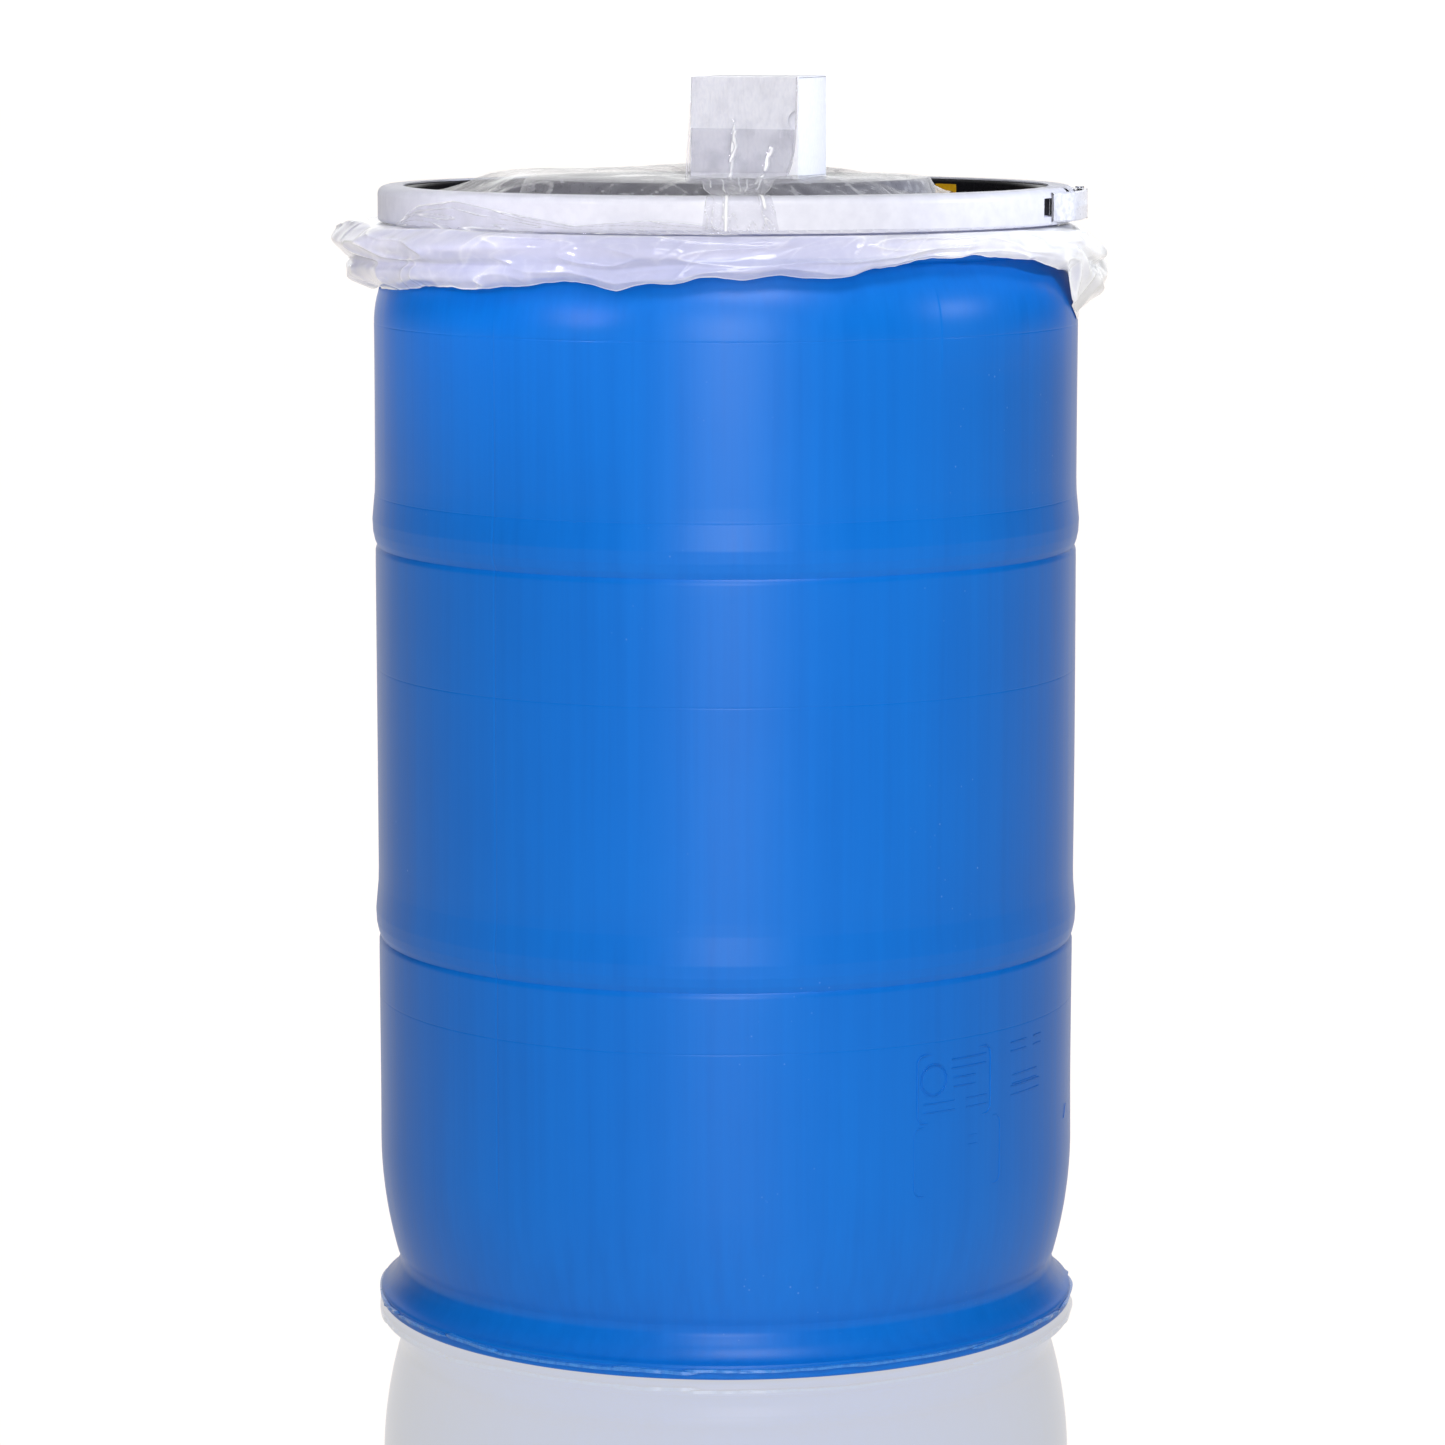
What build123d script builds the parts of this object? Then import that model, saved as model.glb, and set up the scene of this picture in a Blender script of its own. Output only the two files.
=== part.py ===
"""Open-head plastic drum with a lever-lock closing ring, a bag liner and a carton strapped to its lid.

Millimetres, +Z up. The origin is the centre of the base, on the floor.
Azimuth is the angle round the drum: 0 faces -Y, the front, and 90 faces +X, the right.
"""

from build123d import *
from math import cos, radians, sin
import os

os.makedirs("parts", exist_ok=True)

# ---------------------------------------------------------------- driving dimensions
# Drum shell
body_radius = 290.0
rim_height = 919.5          # floor to the top of the mouth bead
wall = 3.2
base_panel = 4.0
base_recess = 8.0           # the base panel's underside stands this far off the floor
neck_inset = 18.0           # the neck stands this far inside the body
neck_wall = 4.0
bead_overhang = 7.3         # the bead stands this far out of the neck
bead_height = 9.0
flange_reach = 11.0         # the flange below the bead stands this far out of the neck
flange_thickness = 4.5
rim_corner = 1.2
hoop_bulge = 3.0
hoop_width = 50.0
hoop_heights = (322.0, 648.0)
belly_height = 140.0        # below this the wall draws in towards the foot
belly_arc = 361.0
shoulder_drop = 100.0       # the shoulder starts this far below the rim
shoulder_arc = 95.0
foot_flare = 1.0            # the foot stands this far outside the body
foot_height = 12.0
waist_height = 38.0

# Film, seal and clearances
film = 1.0
clearance = 0.3
gasket_width = 10.0
gasket_height = 5.0

# Lid
lid_wall = 3.5
lid_roof = 5.0
lip_wall = 3.0
lip_corner = 6.0
recess_depth = 18.8         # from the lid's edge down to the floor of its trough
plateau_rise = 7.5          # from the lid's edge up to its raised middle
plateau_radius = 165.0
plateau_draft = 10.0

# Closing ring
band = 1.2
band_upper_leg = 21.0
band_lower_leg = 11.0
band_upper_corner = 7.0
band_lower_corner = 3.0
window_azimuth = (62.5, 66.3)
window_height = 15.0
end_gap_azimuth = (75.0, 79.0)

# Lever latch
pivot_azimuth = 84.0
pivot_stand_off = 4.5       # pivot axis to the band's outer face
pin_radius = 2.0
pin_clearance = 0.08
head_radius = 3.6
head_height = 1.0
sheet_steel = 1.5
plate_steel = 1.2
link_gap = 0.35
lug_thickness = 2.0
lug_width = 6.0
toggle_arm = 22.0           # lever pivot to draw-plate pivot
lever_height = 20.8
lever_end_azimuth = 118.0
web_setback = 20.0          # the draw plate's web ends this far short of its pivot
tab_height = 13.0
seal_lug_azimuth = 113.0
seal_hole_radius = 1.2
seal_hole_inset = 2.4       # from the seal lug's tip in to the middle of its hole
hub_radius = 3.9            # the lever's flange round its pivot
rib_proud = 0.8             # the draw plate's rib stands this far out
rib_half_height = 4.0

# Carton and the film over it
carton_width = 90.0
carton_depth = 94.0
carton_height = 82.0
carton_board = 1.0
carton_turn = -15.0
carton_centre = (27.0, -22.0)
end_gap = 0.4               # an end panel and a dust flap stand this far from the walls beside them
tuck_depth = 15.0
tuck_lean = 12.0
dust_flap_length = 30.0
notch_radius = 9.0
strip_width = 84.0
strip_height = 81.0
strip_waist_width = 60.0
strip_tail_width = 42.0
strip_edge_azimuth = 4.0
tail_azimuth = 2.0

# Small trim
tag_width = 24.0
tag_thickness = 0.6
tag_margin = 1.0
tag_azimuth = 134.0

# Liner cuff
cuff_film = 3.0
cuff_left_azimuth = 268.0
cuff_right_azimuth = 80.0
cuff_left_reach = 38.0
cuff_right_reach = 24.0
cuff_left_drop = 22.0
cuff_right_drop = 34.0
cuff_left_span = 48.0
cuff_right_span = 40.0
cuff_left_hem = 12.0
cuff_right_hem = 10.0
cuff_base_reach = 4.5
cuff_base_drop = 36.0
cuff_shoulder_drop = 14.0
cuff_hem_gap = 2.5
cuff_neck_gap = 1.5
cuff_neck_depth = 8.0
cuff_steps = 18             # straight stretches in each half of the cuff

# ---------------------------------------------------------------- levels and radii that follow
neck_radius = body_radius - neck_inset
foot_radius = body_radius + foot_flare
mouth_radius = neck_radius - neck_wall
bead_radius = neck_radius + bead_overhang
flange_radius = neck_radius + flange_reach
flange_top = rim_height - bead_height
flange_bottom = flange_top - flange_thickness
shoulder_height = rim_height - shoulder_drop
neck_bottom = flange_bottom - 28.0

lip_inner = bead_radius + film + clearance
lip_outer = lip_inner + lip_wall
lip_bottom = flange_top + film + clearance
gasket_bottom = rim_height + film + clearance
channel_top = gasket_bottom + gasket_height
lid_edge_top = channel_top + lid_roof
plug_radius = mouth_radius - film - 0.5
trough_floor = lid_edge_top - recess_depth
plateau_top = lid_edge_top + plateau_rise
carton_floor = plateau_top + film

band_inner = max(lip_outer, flange_radius + film) + 0.8
band_outer = band_inner + band
band_bottom = flange_bottom - film - 0.4 - band
band_top = lid_edge_top + clearance + band
band_middle = (band_bottom + band_top) / 2

degree = 57.2957795           # degrees in a radian
pivot_radius = band_outer + pivot_stand_off
toggle_azimuth = pivot_azimuth + toggle_arm / pivot_radius * degree
lever_bottom = band_middle - lever_height / 2
lever_top = band_middle + lever_height / 2
lever_web_outer = pivot_radius + 5.0
ear_gap = 0.4
ear_bottom = lever_bottom + sheet_steel + ear_gap
ear_top = lever_top - sheet_steel - ear_gap
ear_radius = pivot_stand_off - 1.0
plate_inner = lever_web_outer + link_gap
plate_outer = plate_inner + plate_steel
plate_bottom = lever_bottom - link_gap - plate_steel
plate_top = lever_top + link_gap + plate_steel
web_end_azimuth = toggle_azimuth - web_setback / pivot_radius * degree


def polar(radius, azimuth, height=0.0):
    """The point at a radius, azimuth and height."""
    return Vector(radius * sin(radians(azimuth)), -radius * cos(radians(azimuth)), height)


def section_plane(azimuth):
    """A vertical plane through the drum's axis: its x runs outward at that azimuth, and its y runs up."""
    outward = polar(1, azimuth)
    return Plane(origin=(0, 0, 0), x_dir=outward, z_dir=outward.cross(Vector(0, 0, 1)))


def deck_plane(radius, azimuth, height):
    """A level plane at that point: its x runs outward, and its y runs round the drum."""
    return Plane(origin=polar(radius, azimuth, height), x_dir=polar(1, azimuth), z_dir=(0, 0, 1))


def save(part, name):
    """Labels a finished piece and writes it as one STEP file."""
    part.label = name
    export_step(part, f"parts/{name}.step")


def side_wall(inset):
    """The drum's side from the belly's foot to the neck, moved inward by inset, for a BuildLine."""
    radius = body_radius - inset
    belly_centre = body_radius - belly_arc
    belly_radius = belly_arc - inset
    low = waist_height + 6.0
    low_radius = belly_centre + (belly_radius**2 - (belly_height - low) ** 2) ** 0.5
    shoulder_centre = body_radius - shoulder_arc
    shoulder_radius = shoulder_arc - inset
    high_radius = neck_radius - inset + 2.0
    high = shoulder_height + (shoulder_radius**2 - (high_radius - shoulder_centre) ** 2) ** 0.5
    RadiusArc((low_radius, low), (radius, belly_height), -belly_radius)
    height = belly_height
    for hoop in hoop_heights:
        Line((radius, height), (radius, hoop - hoop_width / 2))
        Spline(
            (radius, hoop - hoop_width / 2),
            (radius + hoop_bulge, hoop),
            (radius, hoop + hoop_width / 2),
            tangents=[(0, 1), (0, 1)],
        )
        height = hoop + hoop_width / 2
    Line((radius, height), (radius, shoulder_height))
    RadiusArc((radius, shoulder_height), (high_radius, high), -shoulder_radius)
    return (low_radius, low), (high_radius, high)


def over_rim(stand_off, low_inside, low_outside):
    """The line over the mouth, stand_off clear of it: up inside, over bead and flange, down the neck."""
    outside_corner = rim_corner + stand_off
    inside_corner = max(rim_corner - stand_off, 0.3)
    return FilletPolyline(
        (mouth_radius - stand_off, low_inside),
        (mouth_radius - stand_off, rim_height + stand_off),
        (bead_radius + stand_off, rim_height + stand_off),
        (bead_radius + stand_off, flange_top + stand_off),
        (flange_radius + stand_off, flange_top + stand_off),
        (flange_radius + stand_off, flange_bottom - stand_off),
        (neck_radius + stand_off, flange_bottom - stand_off),
        (neck_radius + stand_off, low_outside),
        radius=[outside_corner, outside_corner, inside_corner, outside_corner, outside_corner, inside_corner],
    )


def ring_sector(inner, outer, bottom, top, start, end, mode=Mode.ADD):
    """A rectangle swept round the drum's axis from one azimuth to another."""
    with BuildSketch(section_plane(start)) as outline:
        with Locations(((inner + outer) / 2, (bottom + top) / 2)):
            Rectangle(outer - inner, top - bottom)
    revolve(outline.sketch, axis=Axis.Z, revolution_arc=end - start, mode=mode)


def upright_disc(radius, azimuth, disc_radius, bottom, top, mode=Mode.ADD):
    """A cylinder parallel to the drum's axis, at that radius and azimuth."""
    with BuildSketch(deck_plane(radius, azimuth, bottom)) as outline:
        Circle(disc_radius)
    extrude(outline.sketch, amount=top - bottom, mode=mode)


# ---------------------------------------------------------------- drum shell
inner_floor = base_recess + base_panel
mouth_wall_bottom = neck_bottom + 4.0

with BuildPart() as drum_shell:
    with BuildSketch(Plane.XZ) as shell_section:
        with BuildLine() as shell_outline:
            outer_low, outer_high = side_wall(0)
            inner_low, inner_high = side_wall(wall)
            # foot: the outside runs from the waist over the foot's lip to the floor
            Polyline(
                outer_low,
                (outer_low[0] - 2.2, waist_height - 4.0),
                (foot_radius - 12.0, foot_height + 11.5),
                (foot_radius - 2.5, foot_height),
                (foot_radius + 0.4, foot_height - 2.0),
                (foot_radius + 0.4, foot_height - 3.5),
                (foot_radius, foot_height - 4.5),
                (foot_radius, 5.0),
                (foot_radius - 5.0, 0),
                (foot_radius - 27.0, 0),
                (foot_radius - 39.0, base_recess),
                (0, base_recess),
                (0, inner_floor),
                (inner_low[0] - 18.0, inner_floor),
                (inner_low[0] - 5.0, inner_floor + 12.0),
                inner_low,
            )
            over_rim(0, mouth_wall_bottom, neck_bottom)
            Line(inner_high, (mouth_radius, mouth_wall_bottom))
            Line(outer_high, (neck_radius, neck_bottom))
        make_face()
    revolve(axis=Axis.Z)
save(drum_shell.part, "drum_shell")

# ---------------------------------------------------------------- liner bag
# The film hangs inside the drum, folds over the mouth and runs down the neck behind the closing ring.
liner_low = neck_bottom + 6.0
bag_corner = 40.0

with BuildPart() as liner_bag:
    with BuildSketch(Plane.XZ):
        with BuildLine():
            over_rim(0, inner_floor + bag_corner, liner_low)
            over_rim(film, inner_floor + bag_corner, liner_low)
            Line((neck_radius, liner_low), (neck_radius + film, liner_low))
            Polyline(
                (mouth_radius, inner_floor + bag_corner),
                (mouth_radius - bag_corner, inner_floor),
                (0, inner_floor),
            )
            Line((0, inner_floor), (0, inner_floor + film))
            Polyline(
                (0, inner_floor + film),
                (mouth_radius - bag_corner - film, inner_floor + film),
                (mouth_radius - film, inner_floor + bag_corner),
            )
        make_face()
    revolve(axis=Axis.Z)
save(liner_bag.part, "liner_bag")


# ---------------------------------------------------------------- liner cuff
def bunch(azimuth, centre, spread):
    """How far into a bunch of film an azimuth is, from 0 outside it to 1 at its centre."""
    away = abs((azimuth - centre + 180) % 360 - 180)
    return max(0.0, 1 - (away / spread) ** 2) ** 2


def cuff_section(azimuth):
    """The cuff's section: under the ring, out over the shoulder and down, fuller where the film bunches."""
    left = bunch(azimuth, cuff_left_azimuth, cuff_left_span)
    right = bunch(azimuth, cuff_right_azimuth, cuff_right_span)
    reach = band_outer + cuff_base_reach + cuff_left_reach * left + cuff_right_reach * right
    drop = cuff_left_drop * left + cuff_right_drop * right
    low = band_bottom - cuff_base_drop - drop
    low_outer = body_radius + cuff_hem_gap + cuff_left_hem * left + cuff_right_hem * right
    neck = neck_radius + film + cuff_neck_gap
    top = band_bottom - cuff_neck_gap
    shoulder = band_bottom - cuff_shoulder_drop - drop / 5
    with BuildSketch(section_plane(azimuth)) as section:
        with BuildLine():
            Polyline(
                (neck, top),
                (band_outer - 2.0, top),
                (reach, shoulder),
                (low_outer, low),
                (low_outer - cuff_film, low),
                (reach - 2.0 * cuff_film, shoulder - 2.0),
                (neck, top - cuff_neck_depth),
                close=True,
            )
        make_face()
    return section.sketch


with BuildPart() as liner_cuff:
    for half in range(2):
        step = 180.0 / cuff_steps
        loft([cuff_section(half * 180.0 + step * i) for i in range(cuff_steps + 1)], ruled=True)
save(liner_cuff.part, "liner_cuff")

# ---------------------------------------------------------------- lid and gasket
plateau_foot = plateau_radius + plateau_draft
underside_foot = plateau_foot + lid_wall
trough_edge = plug_radius - lid_wall
gasket_radius = (plug_radius + lip_inner) / 2

with BuildPart() as lid:
    with BuildSketch(Plane.XZ):
        with BuildLine():
            top_line = FilletPolyline(
                (0, plateau_top),
                (plateau_radius, plateau_top),
                (plateau_foot, trough_floor),
                (trough_edge, trough_floor),
                (trough_edge, lid_edge_top),
                (lip_outer, lid_edge_top),
                (lip_outer, lip_bottom),
                radius=[lip_corner, lip_corner, lip_corner, lip_wall, lip_corner],
            )
            bottom_line = FilletPolyline(
                (0, plateau_top - lid_wall),
                (plateau_radius - lid_wall, plateau_top - lid_wall),
                (plateau_foot - lid_wall, trough_floor - lid_wall),
                (plug_radius, trough_floor - lid_wall),
                (plug_radius, channel_top),
                (lip_inner, channel_top),
                (lip_inner, lip_bottom),
                radius=[lip_wall, lip_wall, lip_wall, rim_corner, rim_corner],
            )
            Line((0, plateau_top), (0, plateau_top - lid_wall))
            Line((lip_outer, lip_bottom), (lip_inner, lip_bottom))
        make_face()
    revolve(axis=Axis.Z)
save(lid.part, "lid")

with BuildPart() as lid_gasket:
    with BuildSketch(Plane.XZ):
        with Locations((gasket_radius, (gasket_bottom + channel_top) / 2)):
            RectangleRounded(gasket_width, gasket_height, rim_corner)
    revolve(axis=Axis.Z)
save(lid_gasket.part, "lid_gasket")

# ---------------------------------------------------------------- film over the lid
film_edge = plateau_foot + 14.0

with BuildPart() as cover_film:
    with BuildSketch(Plane.XZ):
        with BuildLine():
            Polyline(
                (0, plateau_top),
                (plateau_radius - 1.0, plateau_top),
                (film_edge, trough_floor + 2.0),
                (film_edge, trough_floor + 2.0 + film),
                (plateau_radius, plateau_top + film),
                (0, plateau_top + film),
                close=True,
            )
        make_face()
    revolve(axis=Axis.Z)
save(cover_film.part, "cover_film")

with BuildPart() as lid_tag:
    # it fills the straight part of the trough's wall, between the two rounded corners
    tag_top = lid_edge_top - lip_wall - tag_margin
    tag_bottom = trough_floor + lip_corner + tag_margin - 0.2
    tag_half_angle = tag_width / trough_edge * degree / 2
    ring_sector(
        trough_edge - tag_thickness,
        trough_edge,
        tag_bottom,
        tag_top,
        tag_azimuth - tag_half_angle,
        tag_azimuth + tag_half_angle,
    )
save(lid_tag.part, "lid_tag")

# ---------------------------------------------------------------- carton
# It lies on its side: x runs along the sleeve, the right end opens, and y runs from its front to its back.
carton_plane = Plane(
    origin=(carton_centre[0], carton_centre[1], carton_floor),
    x_dir=(cos(radians(carton_turn)), sin(radians(carton_turn)), 0),
    z_dir=(0, 0, 1),
)
half_width = carton_width / 2
half_depth = carton_depth / 2
inside_depth = half_depth - carton_board
inside_height = carton_height - carton_board


def carton_box(low, high, mode=Mode.ADD):
    """A block between two corners given in the carton's own frame."""
    base = carton_plane.offset(low[2])
    with BuildSketch(base) as outline:
        with Locations(((low[0] + high[0]) / 2, (low[1] + high[1]) / 2)):
            Rectangle(high[0] - low[0], high[1] - low[1])
    extrude(outline.sketch, amount=high[2] - low[2], mode=mode)


with BuildPart() as carton:
    carton_box((-half_width, -half_depth, 0), (half_width, half_depth, carton_height))
    carton_box(
        (carton_board - half_width, -inside_depth, carton_board),
        (half_width, inside_depth, inside_height),
        Mode.SUBTRACT,
    )
    # thumb notch in the front wall's right edge
    notch_plane = Plane(
        origin=carton_plane.from_local_coords(Vector(half_width, -half_depth, carton_height * 0.56)),
        x_dir=carton_plane.x_dir,
        z_dir=carton_plane.y_dir,
    )
    with BuildSketch(notch_plane):
        Circle(notch_radius)
    extrude(amount=carton_board * 2, mode=Mode.SUBTRACT)
save(carton.part, "carton")

panel_outer = half_width - end_gap / 2
panel_inner = panel_outer - carton_board
flap_outer = panel_inner - end_gap
flap_inner = flap_outer - carton_board
panel_front = end_gap - inside_depth

with BuildPart() as carton_end_panel:
    carton_box(
        (panel_inner, panel_front, carton_board + end_gap),
        (panel_outer, half_depth - carton_board - end_gap, inside_height - end_gap),
    )
    # the tuck leans back from the front wall, so that it clears the wall as the panel swings
    tuck_plane = Plane(
        origin=carton_plane.from_local_coords(Vector(panel_outer, panel_front, carton_board + end_gap)),
        x_dir=carton_plane.x_dir,
        z_dir=carton_plane.z_dir,
    )
    lean = tuck_depth * sin(radians(tuck_lean))
    with BuildSketch(tuck_plane):
        with BuildLine():
            Polyline(
                (0, 0),
                (-carton_board, 0),
                (-tuck_depth, lean),
                (-tuck_depth, lean + carton_board),
                (-carton_board, carton_board),
                (0, carton_board),
                close=True,
            )
        make_face()
    extrude(amount=inside_height - end_gap - carton_board - end_gap)
save(carton_end_panel.part, "carton_end_panel")

# A dust flap folds in from the sleeve's top and another from its bottom, cut back beside the panel's hinge.
flap_back = inside_depth - 4.0
flap_front = -inside_depth + tuck_depth * sin(radians(tuck_lean)) + 5.0


def dust_flap(hinge_height, direction):
    """The outline of a dust flap as a plate standing in the open end."""
    flap_plane = Plane(
        origin=carton_plane.from_local_coords(Vector(flap_outer, 0, hinge_height)),
        x_dir=carton_plane.y_dir,
        z_dir=-carton_plane.x_dir,
    )
    up = -direction
    with BuildSketch(flap_plane) as outline:
        with BuildLine():
            Polyline(
                (flap_back, 0),
                (flap_front, 0),
                (flap_front + 4.0, up * dust_flap_length),
                (flap_back - dust_flap_length - 2.0, up * dust_flap_length),
                close=True,
            )
        make_face()
    extrude(outline.sketch, amount=carton_board)


with BuildPart() as top_dust_flap:
    dust_flap(inside_height - end_gap, -1)
save(top_dust_flap.part, "top_dust_flap")

with BuildPart() as bottom_dust_flap:
    dust_flap(carton_board + end_gap, 1)
save(bottom_dust_flap.part, "bottom_dust_flap")

# ---------------------------------------------------------------- clear strip that holds the carton down
# Its upper length stays with the lid. Its tail, beyond the cut made to open the drum, stays with the ring.
tail_inner = band_outer - band_upper_leg - 3.0
tail_level = band_top + clearance
plateau_level = carton_floor + end_gap


def strip_section(origin, along, width):
    """The strip's section: a level line of film, standing across its run."""
    across = Vector(0, 0, 1).cross(along)
    with BuildSketch(Plane(origin=origin, x_dir=across, z_dir=along)) as section:
        Rectangle(width, film)
    return section.sketch


with BuildPart() as hold_down_strip:
    carton_box((-strip_width / 2, -half_depth - film, end_gap), (strip_width / 2, -half_depth, strip_height))
    strip_foot = carton_plane.from_local_coords(Vector(0, -half_depth, end_gap + film / 2))
    plateau_edge = polar(plateau_radius, strip_edge_azimuth, plateau_level + film / 2)
    ring_edge = polar(tail_inner - 1.0, tail_azimuth, tail_level + film / 2)
    loft(
        [
            strip_section(strip_foot, -carton_plane.y_dir, strip_width),
            strip_section(plateau_edge, polar(1, strip_edge_azimuth), strip_waist_width),
            strip_section(ring_edge, polar(1, tail_azimuth), strip_tail_width),
        ],
        ruled=True,
    )
save(hold_down_strip.part, "hold_down_strip")

with BuildPart() as strip_tail:
    tail_outer = band_outer + clearance
    half_angle = strip_tail_width / band_outer * degree / 2
    tail_edges = (tail_azimuth - half_angle, tail_azimuth + half_angle)
    ring_sector(tail_inner, tail_outer + film, tail_level, tail_level + film, *tail_edges)
    ring_sector(tail_outer, tail_outer + film, band_bottom, tail_level + film, *tail_edges)
save(strip_tail.part, "strip_tail")

# ---------------------------------------------------------------- closing ring
upper_edge = band_outer - band_upper_leg
lower_edge = band_outer - band_lower_leg

with BuildPart() as closing_band:
    with BuildSketch(Plane.XZ):
        with BuildLine():
            FilletPolyline(
                (upper_edge, band_top),
                (band_outer, band_top),
                (band_outer, band_bottom),
                (lower_edge, band_bottom),
                radius=[band_upper_corner, band_lower_corner],
            )
            FilletPolyline(
                (upper_edge, band_top - band),
                (band_inner, band_top - band),
                (band_inner, band_bottom + band),
                (lower_edge, band_bottom + band),
                radius=[band_upper_corner - band, band_lower_corner - band],
            )
            Line((upper_edge, band_top), (upper_edge, band_top - band))
            Line((lower_edge, band_bottom), (lower_edge, band_bottom + band))
        make_face()
    revolve(axis=Axis.Z)
    ring_sector(
        upper_edge - 2.0,
        band_outer + 2.0,
        band_bottom - 2.0,
        band_top + 2.0,
        end_gap_azimuth[0],
        end_gap_azimuth[1],
        Mode.SUBTRACT,
    )
    ring_sector(
        band_inner - 1.0,
        band_outer + 1.0,
        band_middle - window_height / 2,
        band_middle + window_height / 2,
        window_azimuth[0],
        window_azimuth[1],
        Mode.SUBTRACT,
    )
save(closing_band.part, "closing_band")

# ---------------------------------------------------------------- lever latch
bracket_half_width = 4.0
bracket_half_angle = bracket_half_width / band_outer * degree
pin_hole = pin_radius + pin_clearance

with BuildPart() as lever_bracket:
    ring_sector(
        band_outer,
        band_outer + sheet_steel,
        ear_bottom,
        ear_top,
        pivot_azimuth - bracket_half_angle,
        pivot_azimuth + bracket_half_angle,
    )
    for ear_level in (ear_bottom, ear_top - sheet_steel):
        with BuildSketch(deck_plane(pivot_radius, pivot_azimuth, ear_level)):
            Circle(ear_radius)
            with Locations((-pivot_stand_off / 2 + 0.25, 0)):
                Rectangle(pivot_stand_off - 0.5, 2 * ear_radius)
        extrude(amount=sheet_steel)
    upright_disc(pivot_radius, pivot_azimuth, pin_radius, ear_bottom - 1.0, ear_top + 1.0, Mode.SUBTRACT)
save(lever_bracket.part, "lever_bracket")

with BuildPart() as lever_pin:
    upright_disc(pivot_radius, pivot_azimuth, pin_radius, lever_bottom, lever_top)
save(lever_pin.part, "lever_pin")

lug_half_angle = lug_width / band_outer * degree / 2

with BuildPart() as seal_lug:
    lug_outer = lever_web_outer + 5.0
    ring_sector(
        band_outer,
        lug_outer,
        band_middle - lug_thickness / 2,
        band_middle + lug_thickness / 2,
        seal_lug_azimuth - lug_half_angle,
        seal_lug_azimuth + lug_half_angle,
    )
    upright_disc(
        lug_outer - seal_hole_inset,
        seal_lug_azimuth,
        seal_hole_radius,
        band_middle - lug_thickness,
        band_middle + lug_thickness,
        Mode.SUBTRACT,
    )
save(seal_lug.part, "seal_lug")

lever_inner = band_outer + 1.0
lever_web_inner = lever_web_outer - sheet_steel
web_start = 2.5 / pivot_radius * degree

with BuildPart() as lever:
    for flange_level in (lever_bottom, lever_top - sheet_steel):
        ring_sector(
            lever_inner,
            lever_web_outer,
            flange_level,
            flange_level + sheet_steel,
            pivot_azimuth + web_start,
            lever_end_azimuth,
        )
        upright_disc(pivot_radius, pivot_azimuth, hub_radius, flange_level, flange_level + sheet_steel)
    ring_sector(
        lever_web_inner,
        lever_web_outer,
        lever_bottom,
        lever_top,
        pivot_azimuth + web_start,
        lever_end_azimuth,
    )
    # slot for the seal lug, longer on the side that the lug leaves by
    ring_sector(
        lever_web_inner - 1.0,
        lever_web_outer + 1.0,
        band_middle - lug_thickness / 2 - 0.8,
        band_middle + lug_thickness / 2 + 0.8,
        seal_lug_azimuth - lug_half_angle - 0.3,
        seal_lug_azimuth + lug_half_angle + 1.4,
        Mode.SUBTRACT,
    )
    upright_disc(pivot_radius, pivot_azimuth, pin_hole, lever_bottom - 1.0, lever_top + 1.0, Mode.SUBTRACT)
    upright_disc(pivot_radius, toggle_azimuth, pin_radius, lever_bottom - 1.0, lever_top + 1.0, Mode.SUBTRACT)
save(lever.part, "lever")

with BuildPart() as toggle_pin:
    upright_disc(pivot_radius, toggle_azimuth, pin_radius, plate_bottom - clearance, plate_top + clearance)
    for head_level in (plate_top + clearance, plate_bottom - clearance - head_height):
        upright_disc(pivot_radius, toggle_azimuth, head_radius, head_level, head_level + head_height)
save(toggle_pin.part, "toggle_pin")

tab_outer_azimuth = window_azimuth[1] - 1.5 / band_outer * degree
tab_inner_azimuth = tab_outer_azimuth - plate_steel / band_outer * degree
tab_tip = lip_outer + 0.6

with BuildPart() as draw_plate:
    ring_sector(plate_inner, plate_outer, plate_bottom, plate_top, tab_inner_azimuth, web_end_azimuth)
    ring_sector(
        tab_tip,
        plate_outer,
        band_middle - tab_height / 2,
        band_middle + tab_height / 2,
        tab_inner_azimuth,
        tab_outer_azimuth,
    )
    # raised rib that stiffens the plate
    ring_sector(
        plate_outer - 0.3,
        plate_outer + rib_proud,
        band_middle - rib_half_height,
        band_middle + rib_half_height,
        tab_outer_azimuth + 2.0,
        web_end_azimuth - 1.5,
    )
    for arm_level in (plate_bottom, plate_top - plate_steel):
        ring_sector(
            pivot_radius - 2.8,
            plate_outer,
            arm_level,
            arm_level + plate_steel,
            web_end_azimuth - 0.4,
            toggle_azimuth,
        )
        upright_disc(pivot_radius, toggle_azimuth, head_radius, arm_level, arm_level + plate_steel)
    upright_disc(pivot_radius, toggle_azimuth, pin_hole, plate_bottom - 1.0, plate_top + 1.0, Mode.SUBTRACT)
save(draw_plate.part, "draw_plate")

print("lever pivot", polar(pivot_radius, pivot_azimuth, band_middle))
print("toggle pivot", polar(pivot_radius, toggle_azimuth, band_middle))
panel_hinge = Vector(panel_outer, half_depth - carton_board - end_gap, 0)
print("end panel hinge", carton_plane.from_local_coords(panel_hinge))
flap_hinge = Vector(flap_outer, 0, inside_height - end_gap)
print("dust flap hinges", carton_plane.from_local_coords(flap_hinge))
print("carton axis", carton_plane.y_dir)
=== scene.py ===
# %% [markdown]
# # An open-head plastic drum, in Blender
# The object is a blue blow-moulded drum with a black lid. A steel ring closes it, a clear bag lines it, and a small
# carton is held on the lid by clear film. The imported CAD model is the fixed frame: it says where each piece is and
# what moves. This file builds the surfaces that the eye sees around it.

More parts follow.
